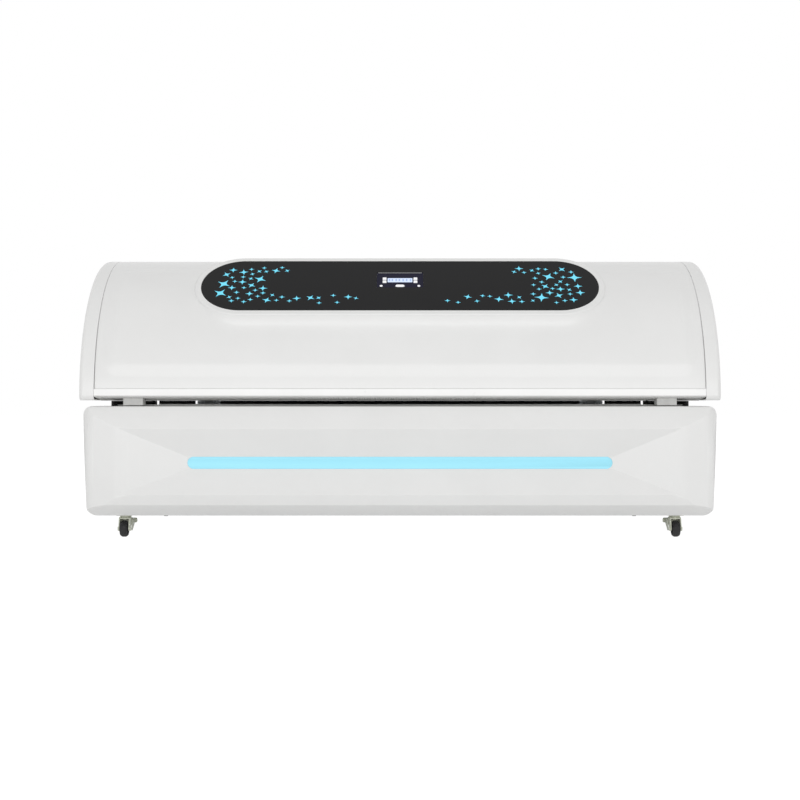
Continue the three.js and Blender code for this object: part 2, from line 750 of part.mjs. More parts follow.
function makeLidFrame() {
  const archIn = lidLedWall + fitGap;
  const band = archBand(
    lidLedIn + archIn, lidLedInRise + archIn, lidArchDepth, lidLedBottomZ, lidLedFacets);
  const archXs = [-wellHalfLength, -lidArchWidth / 2, wellHalfLength - lidArchWidth];
  const arches = archXs.map((x) => prismX(band, x, x + lidArchWidth));
  const beamTop = lidLedBottomZ + lidBeamHeight;
  const shellY = ellipseY(lidHalfDepth - hemProud - shellWall, lidRise - hemProud - shellWall, beamTop);
  const beamOuter = shellY - fitGap;
  const beamInner = beamOuter - lidBeamDepth;
  const beams = [
    channelOutline(beamInner, beamOuter, lidLedBottomZ, beamTop, lidBeamWall),
    channelOutline(-beamOuter, -beamInner, lidLedBottomZ, beamTop, lidBeamWall),
  ].map((outline) => prismX(outline, -wellHalfLength, wellHalfLength));
  const armFoot = circle(hingeY, hingeZ, knuckleRadius, roundSteps);
  const arm = [
    [hingeY - knuckleRadius, hingeZ], [hingeY + knuckleRadius / 2, hingeZ],
    [beamOuter, lidRimZ], [beamOuter, lidLedBottomZ + lidBeamWall],
    [beamOuter - hingeArmDepth, lidLedBottomZ + lidBeamWall],
  ];
  const arms = sides.flatMap(([, side]) => {
    const from = side * hingeX - knuckleWidth / 2;
    return [prismX(armFoot, from, from + knuckleWidth), prismX(arm, from, from + knuckleWidth)];
  });
  const bores = sides.map(([, side]) => prismX(
    circle(hingeY, hingeZ, hingePinRadius + runGap, roundSteps),
    side * hingeX - knuckleWidth, side * hingeX + knuckleWidth));
  const studEnd = strutX + strutEyeWidth / 2 + fitGap + strutStudHeadWidth;
  const studs = sides.flatMap(([, side]) => {
    const stud = rod(strutStudRadius, wellHalfLength - lidArchWidth / 2, studEnd, 'x', pinSteps);
    const head = rod(strutStudHead, studEnd - strutStudHeadWidth, studEnd, 'x', pinSteps);
    return [stud, head].map((solid) => (side > 0 ? solid : solid.mirror([1, 0, 0]))
      .translate([0, strutHeadY, strutHeadZ]));
  });
  return cut(joined([...arches, ...beams, ...arms, ...studs]), bores);
}

function makeBuffer(side) {
  // The buffer fills the gap from the deck up to the sloping rail above it.
  const yOuter = lidHalfDepth - bufferInset;
  const outline = [
    [-yOuter, baseTopZ], [-(yOuter - bufferDepth), baseTopZ],
    [-(yOuter - bufferDepth), railZ(yOuter - bufferDepth) - fitGap], [-yOuter, railZ(yOuter) - fitGap],
  ];
  const x = side * bufferX;
  return prismX(outline, x - bufferLength / 2, x + bufferLength / 2);
}

// Control fascia, display module and keys, drawn in the fascia plane.
function makeFascia() {
  const plate = prismZ(stadium(fasciaLength, fasciaHeight, stadiumSteps), -fasciaThickness, 0);
  const window = box(
    -moduleLength / 2 - fitGap, moduleLength / 2 + fitGap, moduleUpSlope - moduleHeight / 2 - fitGap,
    moduleUpSlope + moduleHeight / 2 + fitGap, -cutOverrun, cutOverrun);
  return plate.subtract(window);
}

const keyOutlines = {
  start_key: moved(stadium(startKeyLength, startKeyHeight, cornerSteps), 0, -startKeyDrop),
};
const keyGrown = {
  start_key: moved(stadium(startKeyLength + 2 * fitGap, startKeyHeight + 2 * fitGap, cornerSteps),
    0, -startKeyDrop),
};
[['upper_left', -1, 1], ['upper_right', 1, 1], ['lower_left', -1, -1], ['lower_right', 1, -1]]
  .forEach(([place, across, up]) => {
    const outline = (grow) => {
      const half = arrowKeySize / 2 + grow;
      return moved(roundedRect(-half, half, -half, half, arrowKeyCorner + grow, smallCornerSteps),
        across * arrowKeyX, up * arrowKeyUp);
    };
    keyOutlines[`arrow_key_${place}`] = outline(0);
    keyGrown[`arrow_key_${place}`] = outline(fitGap);
  });

function makeModule() {
  const halfLength = moduleLength / 2;
  const halfHeight = moduleHeight / 2;
  const bezel = box(-halfLength, halfLength, -halfHeight, halfHeight, -fasciaThickness, -moduleSink);
  const body = box(-halfLength + moduleLedge, halfLength - moduleLedge,
    -halfHeight + moduleLedge, halfHeight - moduleLedge, -fasciaThickness - moduleDepth, -moduleSink);
  const screen = box(-screenLength / 2, screenLength / 2, -screenHeight / 2, screenHeight / 2,
    -fasciaThickness, -moduleSink + screenProud);
  const lamps = sides.map(([, side]) => prismZ(
    circle(side * lampKeyX, -startKeyDrop, lampKeyRadius, pinSteps),
    -fasciaThickness, -moduleSink + screenProud));
  const pocketFloor = -moduleSink + keyProud - keyDepth - keyTravel - fitGap;
  const pockets = Object.values(keyGrown).map((outline) => prismZ(outline, pocketFloor, cutOverrun));
  return cut(joined([bezel, body, screen, ...lamps]), pockets).translate([0, moduleUpSlope, 0]);
}

function makeKey(name) {
  const top = -moduleSink + keyProud;
  return prismZ(keyOutlines[name], top - keyDepth, top).translate([0, moduleUpSlope, 0]);
}

function makeLid() {
  addPiece('lid_shell', makeLidShell(), whiteShell);
  sides.forEach(([name, side]) => addPiece(`lid_${name}_cap`, makeLidCap(side), whiteShell));
  const railReach = shellHalfLength - fitGap;
  addPiece('lid_front_rail', prismX(railOutline(-1), -railReach, railReach), aluminium);
  addPiece('lid_rear_rail', makeLidRearRail(), aluminium);
  addPiece('lid_frame', makeLidFrame(), steelPaint);
  const ledBand = archBand(lidLedIn, lidLedInRise, lidLedWall, lidLedBottomZ, lidLedFacets);
  addPiece('lid_led_panel', prismX(ledBand, -wellHalfLength, wellHalfLength), ledBoard);
  const liner = archBand(tunnelHalfWidth, tunnelRise, linerWall, linerBottomZ, archSteps);
  const linerReach = wellHalfLength - fitGap;
  addPiece('lid_sheet', prismX(liner, -linerReach, linerReach), clearSheet);
  sides.forEach(([name, side]) => addPiece(`lid_buffer_${name}`, makeBuffer(side), rubber));
  const plane = new THREE.Group();
  plane.position.set(0, fasciaCentreY, fasciaCentreZ);
  plane.rotation.x = fasciaTilt;
  root.add(plane);
  addPiece('control_fascia', makeFascia(), blackGloss, plane);
  addPiece('display_module', makeModule(), blackGloss, plane);
  Object.keys(keyOutlines).forEach((name) => addPiece(name, makeKey(name), keyWhite, plane));
}

// Base shells: a side outline, an end outline and a plan outline meet in one body.
function baseBody(inward) {
  const side = inset([
    [baseToeY, baseBottomZ], [baseRearToeY, baseBottomZ], [baseRearY, baseTuckZ],
    [baseRearY, baseTopZ], [baseFrontTopY, baseTopZ], [baseFrontY, baseRidgeZ],
    [baseFrontY, baseLowRidgeZ], [baseTuckY, baseTuckZ],
  ], inward);
  const slant = (baseTopHalfLength - baseFootHalfLength) / (baseTopZ - baseBottomZ);
  const lean = Math.atan(slant);
  const topX = baseTopHalfLength - baseTopCorner;
  const footX = baseFootHalfLength - baseFootCorner;
  const rightEnd = [
    ...arc(footX, baseBottomZ + baseFootCorner, baseFootCorner, -Math.PI / 2, -lean, cornerSteps),
    ...arc(topX, baseTopZ - baseTopCorner, baseTopCorner, -lean, Math.PI / 2, cornerSteps),
  ];
  const leftEnd = rightEnd.map(([x, z]) => [-x, z]).reverse();
  const end = inset([...rightEnd, ...leftEnd], inward);
  const facet = THREE.MathUtils.degToRad(baseFacetDeg);
  const facetRun = baseTopHalfLength - baseFrontCorner - baseFacetX;
  const cornerY = baseFrontY + facetRun * Math.tan(facet) + baseFrontCorner / Math.cos(facet);
  const rearX = baseTopHalfLength - baseRearCorner;
  const rightPlan = [
    [baseFacetX, baseFrontY],
    ...arc(baseTopHalfLength - baseFrontCorner, cornerY, baseFrontCorner, facet - Math.PI / 2, 0,
      frontCornerSteps),
    ...arc(rearX, baseRearY - baseRearCorner, baseRearCorner, 0, Math.PI / 2, cornerSteps),
  ];
  const leftPlan = rightPlan.map(([x, y]) => [-x, y]).reverse();
  const plan = inset([...rightPlan, ...leftPlan], inward);
  return prismX(side, -lidHalfLength, lidHalfLength)
    .intersect(prismY(end, -lidHalfDepth, lidHalfDepth))
    .intersect(prismZ(plan, 0, baseTopZ + cutOverrun));
}

function valley(depthShift) {
  const ring = (halfLength, low, high, y) => [
    [-halfLength, low], [halfLength, low], [halfLength, high], [-halfLength, high],
  ].map(([x, z]) => new THREE.Vector3(x, y + depthShift, z));
  const floorLow = stripCentreZ - valleyFloorHeight / 2;
  const floorHigh = stripCentreZ + valleyFloorHeight / 2;
  const growX = (valleyHalfLength - valleyFloorHalfLength) / valleyDepth;
  const growHigh = (baseRidgeZ - floorHigh) / valleyDepth;
  const growLow = (floorLow - baseLowRidgeZ) / valleyDepth;
  return loft([
    ring(valleyHalfLength + cutOverrun * growX, baseLowRidgeZ - cutOverrun * growLow,
      baseRidgeZ + cutOverrun * growHigh, baseFrontY - cutOverrun),
    ring(valleyFloorHalfLength, floorLow, floorHigh, baseFrontY + valleyDepth),
  ], 'y');
}

function makeBaseShell() {
  const outside = baseBody(0).subtract(valley(0));
  const inside = baseBody(shellWall).subtract(valley(shellWall));
  const well = box(-wellHalfLength, wellHalfLength, -wellHalfWidth, wellHalfWidth,
    sheetEdgeZ - sheetSag, baseTopZ + cutOverrun);
  const footX = frameHalfLength + fitGap;
  const footY = frameHalfWidth + fitGap;
  const foot = box(-footX, footX, -footY, footY, 0, baseBottomZ + shellWall + fitGap);
  return cut(outside, [inside, well, foot]);
}

function makeFrontCover(shell) {
  const part = box(-lidHalfLength, lidHalfLength, -lidHalfDepth, -coverSplitY, 0, lidRimZ);
  const slot = prismY(moved(
    stadium(stripLength + 2 * fitGap, stripHeight + 2 * fitGap, stadiumSteps), 0, stripCentreZ),
  valleyFloorY - cutOverrun, valleyFloorY + cutOverrun);
  return shell.intersect(part).subtract(slot);
}

function grilleCuts(side) {
  const rows = Math.floor(fanBoreRadius / grillePitch);
  return Array.from({ length: 2 * rows + 1 }, (_, i) => {
    const up = (i - rows) * grillePitch;
    const half = Math.sqrt(Math.max(fanBladeTip ** 2 - up ** 2, fanHubRadius ** 2));
    const outline = moved(stadium(2 * half, grilleSlotHeight, smallCornerSteps), side * fanX, fanZ + up);
    return prismY(outline, baseRearY - shellWall * 2, baseRearY + shellWall);
  });
}

function makeRearCover(shell) {
  const part = box(-lidHalfLength, lidHalfLength, coverSplitY, lidHalfDepth, 0, lidRimZ);
  const bracketHalf = knuckleWidth / 2 + fitGap + bracketKnuckleWidth + hingePinHeadWidth + seamGap;
  const hingeNotches = sides.map(([, side]) => box(
    side * hingeX - bracketHalf, side * hingeX + bracketHalf, frameHalfWidth, baseRearY + shellWall,
    frameTopZ - hingeLeaf - fitGap, lidRimZ));
  const slotHalf = strutTubeRadius + fitGap * 2;
  const strutSlots = sides.map(([, side]) => box(
    side * strutX - slotHalf, side * strutX + slotHalf, coverSplitY, baseRearY - shellWall * 2,
    frameTopZ - shellWall, lidRimZ));
  const inletHole = box(inletX - inletLength / 2 - fitGap, inletX + inletLength / 2 + fitGap,
    baseRearY - cutOverrun, baseRearY + shellWall,
    inletZ - inletHeight / 2 - fitGap, inletZ + inletHeight / 2 + fitGap);
  const grilles = sides.flatMap(([, side]) => grilleCuts(side));
  return cut(shell.intersect(part), [...hingeNotches, ...strutSlots, inletHole, ...grilles]);
}

function makeEndCover(shell, side) {
  const y = coverSplitY - seamGap;
  const xs = side > 0 ? [wellHalfLength, lidHalfLength] : [-lidHalfLength, -wellHalfLength];
  return shell.intersect(box(xs[0], xs[1], -y, y, 0, lidRimZ));
}

// Base frame of angle bars
function angleX(yOuter, zFrom, zTo, flangeTop, way, reach, leg) {
  // Angle bar along X: an upright leg on the outside and a flat leg inwards.
  const flatZ = flangeTop ? [zTo - frameWall, zTo] : [zFrom, zFrom + frameWall];
  const upright = box(-reach, reach, Math.min(way * yOuter, way * (yOuter - frameWall)),
    Math.max(way * yOuter, way * (yOuter - frameWall)), zFrom, zTo);
  const flat = box(-reach, reach, Math.min(way * yOuter, way * (yOuter - leg)),
    Math.max(way * yOuter, way * (yOuter - leg)), flatZ[0], flatZ[1]);
  return upright.add(flat);
}

function angleY(xOuter, zFrom, zTo, flangeTop, way, reach, leg) {
  const flatZ = flangeTop ? [zTo - frameWall, zTo] : [zFrom, zFrom + frameWall];
  const ordered = (a, b) => [Math.min(a, b), Math.max(a, b)];
  const [ux0, ux1] = ordered(way * xOuter, way * (xOuter - frameWall));
  const [fx0, fx1] = ordered(way * xOuter, way * (xOuter - leg));
  return box(ux0, ux1, -reach, reach, zFrom, zTo).add(box(fx0, fx1, -reach, reach, flatZ[0], flatZ[1]));
}

const trayRadius = sheetRadius + sheetWall + trayDrop + trayWall;
const trayBottomZ = sheetCentreZ - trayRadius;

function makeBaseFrame() {
  const bars = [];
  [-1, 1].forEach((way) => {
    const legTopZ = baseBottomZ + frameLeg;
    bars.push(angleX(frameHalfWidth, baseBottomZ, legTopZ, false, way, frameHalfLength, frameLeg));
    bars.push(angleY(frameHalfLength, baseBottomZ, legTopZ, false, way, frameHalfWidth, frameLeg));
    bars.push(angleX(frameHalfWidth, frameTopZ - frameTopLegHeight, frameTopZ, true, way,
      frameTopHalfLength, frameHalfWidth - wellHalfWidth));
    bars.push(angleY(frameTopHalfLength, frameTopZ - frameTopLegHeight, frameTopZ, true, way,
      frameHalfWidth, frameTopHalfLength - wellHalfLength));
  });
  [-1, 1].forEach((wayX) => [-1, 1].forEach((wayY) => {
    const ordered = (a, b) => [Math.min(a, b), Math.max(a, b)];
    const [x0, x1] = ordered(wayX * frameTopHalfLength, wayX * (frameTopHalfLength - framePostLeg));
    const [y0, y1] = ordered(wayY * frameHalfWidth, wayY * (frameHalfWidth - frameWall));
    bars.push(box(x0, x1, y0, y1, baseBottomZ, frameTopZ));
    const [u0, u1] = ordered(wayX * frameTopHalfLength, wayX * (frameTopHalfLength - frameWall));
    const [v0, v1] = ordered(wayY * frameHalfWidth, wayY * wellHalfWidth);
    bars.push(box(u0, u1, v0, v1, baseBottomZ, frameTopZ));
  }));
  [-crossBarX, crossBarX].forEach((x) => {
    const x0 = x - crossBarWidth / 2;
    const x1 = x + crossBarWidth / 2;
    bars.push(box(x0, x1, -frameHalfWidth, frameHalfWidth, baseBottomZ, baseBottomZ + frameWall));
    const barTop = trayBottomZ - fitGap;
    bars.push(box(x0, x1, -frameHalfWidth, frameHalfWidth, barTop - trayBarHeight, barTop));
    [-1, 1].forEach((way) => {
      const y0 = Math.min(way * frameHalfWidth, way * (frameHalfWidth - frameWall));
      bars.push(box(x0, x1, y0, y0 + frameWall, baseBottomZ, frameTopZ));
    });
  });
  return joined([...bars, makeStrutFoot(-1), makeStrutFoot(1)]);
}

function makeFloorPan() {
  const x = frameHalfLength - frameWall - fitGap;
  const y = frameHalfWidth - frameWall - fitGap;
  const z = baseBottomZ + frameWall;
  const plate = box(-x, x, -y, y, z, z + panWall);
  const postX = frameTopHalfLength - framePostLeg - fitGap;
  const postY = wellHalfWidth - fitGap;
  const notches = [-1, 1].flatMap((wayX) => [-1, 1].map((wayY) => box(
    Math.min(wayX * postX, wayX * lidHalfLength), Math.max(wayX * postX, wayX * lidHalfLength),
    Math.min(wayY * postY, wayY * lidHalfDepth), Math.max(wayY * postY, wayY * lidHalfDepth),
    0, lidRimZ)));
  return cut(plate, notches);
}

// Bed well pieces follow one arc, drawn about a centre above the bed.
function sagLine(radius, halfWidth, steps) {
  const reach = Math.asin(halfWidth / radius);
  return Array.from({ length: steps + 1 }, (_, i) => {
    const angle = -reach + (2 * reach * i) / steps;
    return [radius * Math.sin(angle), sheetCentreZ - radius * Math.cos(angle)];
  });
}

function sagBand(radius, wall, halfWidth, steps) {
  return [...sagLine(radius + wall, halfWidth, steps), ...sagLine(radius, halfWidth, steps).reverse()];
}

const sagZ = (radius, y) => sheetCentreZ - Math.sqrt(radius ** 2 - y ** 2);

function makeTray() {
  const reach = wellHalfLength - fitGap;
  const half = sheetHalfWidth - fitGap;
  const floorRadius = trayRadius - trayWall;
  const trough = prismX(sagBand(floorRadius, trayWall, half, sheetSteps), -reach, reach);
  const walls = [-1, 1].map((way) => box(-reach, reach,
    Math.min(way * half, way * (half - trayWall)), Math.max(way * half, way * (half - trayWall)),
    sagZ(trayRadius, half), trayTopZ));
  const top = sagLine(sheetRadius + sheetWall + fitGap, half - bedRailLedge - fitGap, sheetSteps);
  const bottom = sagLine(trayRadius - trayWall / 2, half - bedRailLedge - fitGap, sheetSteps);
  const endPlate = [...bottom, ...top.reverse()];
  const ends = [prismX(endPlate, -reach, -reach + trayWall), prismX(endPlate, reach - trayWall, reach)];
  return joined([trough, ...walls, ...ends]);
}

function makeBedRail(way) {
  const inner = sheetHalfWidth + fitGap;
  const outer = wellHalfWidth - fitGap;
  const under = sheetRadius + sheetWall + fitGap;
  const ledge = sheetHalfWidth - bedRailLedge;
  const outline = [
    [inner, baseTopZ + bedRailTop], [outer + bedRailLip, baseTopZ + bedRailTop],
    [outer + bedRailLip, baseTopZ], [outer, baseTopZ], [outer, bedRailBottomZ], [inner, bedRailBottomZ],
    [ledge, sagZ(under, ledge) - bedRailTop], [ledge, sagZ(under, ledge)], [inner, sagZ(under, inner)],
  ].map(([y, z]) => [way * y, z]);
  return prismX(outline, -wellHalfLength + fitGap, wellHalfLength - fitGap);
}

function makeStrip() {
  const lens = prismY(moved(stadium(stripLength, stripHeight, stadiumSteps), 0, stripCentreZ),
    valleyFloorY, valleyFloorY + stripThickness + stripFlangeWall);
  const flange = prismY(moved(stadium(stripLength + 2 * stripFlange, stripHeight + 2 * stripFlange,
    stadiumSteps), 0, stripCentreZ),
  valleyFloorY + stripThickness, valleyFloorY + stripThickness + stripFlangeWall);
  return lens.add(flange);
}

function makeStripBoard() {
  // A shallow aluminium channel with its light side to the front.
  const yFrom = valleyFloorY + stripThickness + stripFlangeWall + fitGap;
  const half = stripLength / 2;
  const body = box(-half, half, yFrom, yFrom + stripBoardDepth,
    stripCentreZ - stripBoardHeight / 2, stripCentreZ + stripBoardHeight / 2);
  const hollow = box(-half + stripBoardWall, half - stripBoardWall, yFrom - stripBoardWall,
    yFrom + stripBoardDepth - stripBoardWall, stripCentreZ - stripBoardHeight / 2 + stripBoardWall,
    stripCentreZ + stripBoardHeight / 2 - stripBoardWall);
  return body.subtract(hollow);
}

// Boxes on the pan, with cooling fins along their tops.
function makeFinnedBox(x, length, depth, height) {
  const z = baseBottomZ + frameWall + panWall;
  const outline = [
    [-depth / 2, z], [depth / 2, z], [depth / 2, z + height - boxChamfer],
    [depth / 2 - boxChamfer, z + height], [-depth / 2 + boxChamfer, z + height],
    [-depth / 2, z + height - boxChamfer],
  ];
  const body = prismX(outline, x - length / 2, x + length / 2);
  const count = Math.floor((length - 2 * boxFinPitch) / boxFinPitch);
  const first = x - ((count - 1) * boxFinPitch) / 2;
  const slots = Array.from({ length: count }, (_, i) => box(
    first + i * boxFinPitch - boxFinWidth / 2, first + i * boxFinPitch + boxFinWidth / 2,
    -depth / 2 + 2 * boxChamfer, depth / 2 - 2 * boxChamfer,
    z + height - boxFinDepth, z + height + cutOverrun));
  return cut(body, slots);
}

// Mains inlet with its socket, and the pocket of the rocker
function makeInlet() {
  const halfLength = inletLength / 2;
  const halfHeight = inletHeight / 2;
  const flange = prismY(roundedRect(-halfLength - inletFlange, halfLength + inletFlange,
    -halfHeight - inletFlange, halfHeight + inletFlange, inletFlange, smallCornerSteps),
  baseRearY, baseRearY + inletFlangeWall);
  const body = box(-halfLength, halfLength, baseRearY - inletBodyDepth, baseRearY + inletFlangeWall / 2,
    -halfHeight, halfHeight);
  const face = baseRearY + inletFlangeWall;
  const socketX = -halfLength / 2;
  const socket = prismY(moved(roundedRect(-socketLength / 2, socketLength / 2, -socketHeight / 2,
    socketHeight / 2, inletFlange, smallCornerSteps), socketX, 0), face - socketDepth, face + cutOverrun);
  const pins = [-1, 0, 1].map((place) => socketX + place * socketPinSpacing).map((x) => box(
    x - socketPinSize / 2, x + socketPinSize / 2,
    face - socketDepth - inletFlangeWall, face - inletFlangeWall, -socketPinSize, socketPinSize));
  const switchX = halfLength / 2;
  const pocket = box(switchX - switchLength / 2 - fitGap, switchX + switchLength / 2 + fitGap,
    face - 2 * switchDepth - switchPivotDepth, face + cutOverrun,
    -switchHeight / 2 - 2 * fitGap, switchHeight / 2 + 2 * fitGap);
  return joined([cut(flange.add(body), [socket, pocket]), ...pins]).translate([inletX, 0, inletZ]);
}

function makeSwitch() {
  // Rocker with two faces; it rests tipped, so that one face lies flush.
  const tilt = THREE.MathUtils.degToRad(switchTiltDeg);
  const half = switchHeight / 2;
  const rise = half * Math.tan(tilt);
  const outline = [
    [-switchDepth, -half / 2], [-switchDepth, half / 2], [0, half - fitGap],
    [switchPivotDepth / 2 + rise / 2, half - fitGap], [switchPivotDepth / 2, 0],
    [switchPivotDepth / 2 + rise / 2, -half + fitGap], [0, -half + fitGap],
  ];
  return prismX(outline, -switchLength / 2, switchLength / 2);
}

// Fan frame and rotor, drawn about the fan's own axis along Y.
function makeFanFrame() {
  const half = fanSize / 2;
  const square = roundedRect(-half, half, -half, half, fanCornerRadius, smallCornerSteps);
  const plate = prismY(square, 0, fanDepth);
  const bore = prismY(circle(0, 0, fanBoreRadius, roundSteps * 2), -cutOverrun, fanDepth + cutOverrun);
  const motor = prismY(circle(0, 0, fanHubRadius, roundSteps), 0, fanMotorDepth);
  const spokes = Array.from({ length: fanSpokeCount }, (_, i) => (
    box(-fanSpokeWidth / 2, fanSpokeWidth / 2, 0, fanMotorDepth / 2, 0, fanBoreRadius + fanCornerRadius / 2)
      .rotate([0, THREE.MathUtils.radToDeg((2 * Math.PI * i) / fanSpokeCount), 0])));
  const shaft = prismY(circle(0, 0, fanShaftRadius, pinSteps), 0, fanDepth - fanMotorDepth);
  return joined([plate.subtract(bore), motor, ...spokes, shaft]);
}

function makeFanRotor() {
  const from = fanMotorDepth + fanEndGap;
  const to = fanDepth - fanBladeThickness * 2;
  const hub = prismY(circle(0, 0, fanHubRadius, roundSteps), from, to);
  const mid = (from + to) / 2;
  const bladeWidth = (to - from) * fanBladeShare;
  const blades = Array.from({ length: fanBladeCount }, (_, i) => {
    const radii = [fanHubRadius - fanBladeThickness, (fanHubRadius + fanBladeTip) / 2, fanBladeTip];
    const rings = radii.map((radius, step) => {
      const twist = fanBladeTwistDeg * (1 + fanTwistGrowShares[step]);
      const pitch = Math.PI / 2 - THREE.MathUtils.degToRad(twist);
      const half = bladeWidth / 2;
      return [[-half, -fanBladeThickness / 2], [half, -fanBladeThickness / 2],
        [half, fanBladeThickness / 2], [-half, fanBladeThickness / 2]].map(([u, v]) => {
        const along = u * Math.sin(pitch) - v * Math.cos(pitch);
        const across = u * Math.cos(pitch) + v * Math.sin(pitch);
        return new THREE.Vector3(radius, mid + along, across);
      });
    });
    return loft(rings, 'x').rotate([0, THREE.MathUtils.radToDeg((2 * Math.PI * i) / fanBladeCount), 0]);
  });
  const bore = prismY(circle(0, 0, fanShaftRadius + runGap, pinSteps),
    0, fanDepth - fanMotorDepth + fanEndGap);
  return joined([hub, ...blades]).subtract(bore);
}

// Hinge brackets and pins
function makeHingeBracket(side) {
  const gap = knuckleWidth / 2 + fitGap;
  const reach = gap + bracketKnuckleWidth;
  const leafFrom = frameHalfWidth + fitGap;
  const leafTop = frameTopZ + fitGap;
  const leaf = [
    [leafFrom, leafTop - hingeLeafHeight], [leafFrom + hingeLeaf, leafTop - hingeLeafHeight],
    [leafFrom + hingeLeaf, leafTop - hingeLeaf], [hingeY - knuckleRadius / 2, leafTop - hingeLeaf],
    [hingeY, leafTop], [leafFrom, leafTop],
  ];
  const ear = [
    [hingeY - knuckleRadius, hingeZ], [hingeY - 2 * knuckleRadius, leafTop - hingeLeaf / 2],
    [hingeY - knuckleRadius / 2, leafTop - hingeLeaf], [hingeY + knuckleRadius, hingeZ],
  ];
  const x = side * hingeX;
  const solids = [prismX(leaf, x - reach, x + reach)];
  [[x - reach, x - gap], [x + gap, x + reach]].forEach(([from, to]) => {
    solids.push(prismX(ear, from, to));
    solids.push(prismX(circle(hingeY, hingeZ, knuckleRadius, roundSteps), from, to));
  });
  const bore = prismX(circle(hingeY, hingeZ, hingePinRadius + runGap, roundSteps),
    x - reach - cutOverrun, x + reach + cutOverrun);
  return joined(solids).subtract(bore);
}

function makeHingePin(side) {
  const reach = knuckleWidth / 2 + fitGap + bracketKnuckleWidth + fitGap;
  const x = side * hingeX;
  const end = hingePinHeadWidth;
  return joined([
    prismX(circle(hingeY, hingeZ, hingePinRadius, pinSteps), x - reach - end, x + reach + end),
    prismX(circle(hingeY, hingeZ, hingePinHead, pinSteps), x - reach - end, x - reach),
    prismX(circle(hingeY, hingeZ, hingePinHead, pinSteps), x + reach, x + reach + end),
  ]);
}

// Struts
const strutLength = Math.hypot(strutHeadY - strutFootY, strutHeadZ - strutFootZ);

function makeStrutFoot(side) {
  // Welded to the rear post of the frame.
  const plateFrom = frameTopHalfLength - frameWall;
  const plate = box(plateFrom, frameTopHalfLength + strutFootPlate, strutFootY - strutFootHeight / 2,
    frameHalfWidth, strutFootZ - strutFootHeight / 2, strutFootZ + strutFootHeight / 2);
  const end = strutX + strutEyeWidth / 2 + fitGap + strutStudHeadWidth;
  const stud = rod(strutStudRadius, plateFrom, end, 'x', pinSteps);
  const head = rod(strutStudHead, end - strutStudHeadWidth, end, 'x', pinSteps);
  const shoulder = rod(strutStudHead, plateFrom, strutX - strutEyeWidth / 2 - fitGap, 'x', pinSteps);
  const pinned = joined([stud, head, shoulder]).translate([0, strutFootY, strutFootZ]);
  const foot = plate.add(pinned);
  return side > 0 ? foot : foot.mirror([1, 0, 0]);
}

// Tube along local Y from the foot pivot; its eye lies across X.
function makeStrutTube() {
  const eyeRadius = strutTubeRadius;
  const eye = rod(eyeRadius, -strutEyeWidth / 2, strutEyeWidth / 2, 'x', roundSteps);
  const bottom = strutStudRadius + runGap + strutTubeWall / 2;
  const tube = turned([
    [0, bottom], [strutTubeRadius, bottom], [strutTubeRadius, strutTubeLength],
    [strutRodRadius + runGap, strutTubeLength], [strutRodRadius + runGap, strutTubeLength - strutTubeWall],
    [strutBoreRadius, strutTubeLength - strutTubeWall], [strutBoreRadius, bottom + 2 * strutTubeWall],
    [0, bottom + 2 * strutTubeWall],
  ], 'y', roundSteps);
  const bore = rod(strutStudRadius + runGap, -cutOverrun, cutOverrun, 'x', pinSteps);
  return eye.add(tube).subtract(bore);
}

function makeStrutRod() {
  const pistonFrom = strutStudRadius + strutPistonLift;
  const boreRadius = strutStudRadius + strutEyeSlack;
  const eyeRadius = boreRadius + strutEyeWall;
  const shaft = turned([
    [0, pistonFrom], [strutBoreRadius - runGap, pistonFrom],
    [strutBoreRadius - runGap, pistonFrom + strutPistonLength],
    [strutRodRadius, pistonFrom + strutPistonLength], [strutRodRadius, strutLength - boreRadius],
    [0, strutLength - boreRadius],
  ], 'y', roundSteps);
  const eye = rod(eyeRadius, -strutEyeWidth / 2, strutEyeWidth / 2, 'x', roundSteps);
  const bore = rod(boreRadius, -strutEyeWidth, strutEyeWidth, 'x', roundSteps);
  return shaft.add(eye.translate([0, strutLength, 0])).subtract(bore.translate([0, strutLength, 0]));
}

// Casters, drawn about the swivel axis with the wheel trailing towards -Y.
const casterTopZ = baseBottomZ;
const raceBottomZ = casterTopZ - casterPlateThickness - casterHeadHeight;
const forkTopZ = raceBottomZ - runGap;
const forkInside = wheelWidth / 2 + wheelHubProud + runGap;
const pedalPivotY = forkTopRadius / 2 + pedalPivotRadius + runGap;
const pedalPivotZ = forkTopZ - forkTopThickness - pedalPivotRadius * 2;

function makeCasterPlate() {
  const halfX = casterPlateLength / 2;
  const halfY = casterPlateDepth / 2;
  const plate = prismZ(roundedRect(-halfX, halfX, -halfY, halfY, kingpinRadius, smallCornerSteps),
    casterTopZ - casterPlateThickness, casterTopZ);
  const headTop = forkTopZ - forkTopThickness - runGap;
  const race = turned([
    [0, headTop - kingpinHeadThickness], [kingpinHead, headTop - kingpinHeadThickness],
    [kingpinHead, headTop],
    [kingpinRadius, headTop], [kingpinRadius, raceBottomZ], [racewayRadius, raceBottomZ],
    [racewayRadius + casterHeadHeight / 2, casterTopZ - casterPlateThickness],
    [0, casterTopZ - casterPlateThickness],
  ], 'z', pinSteps);
  return plate.add(race);
}

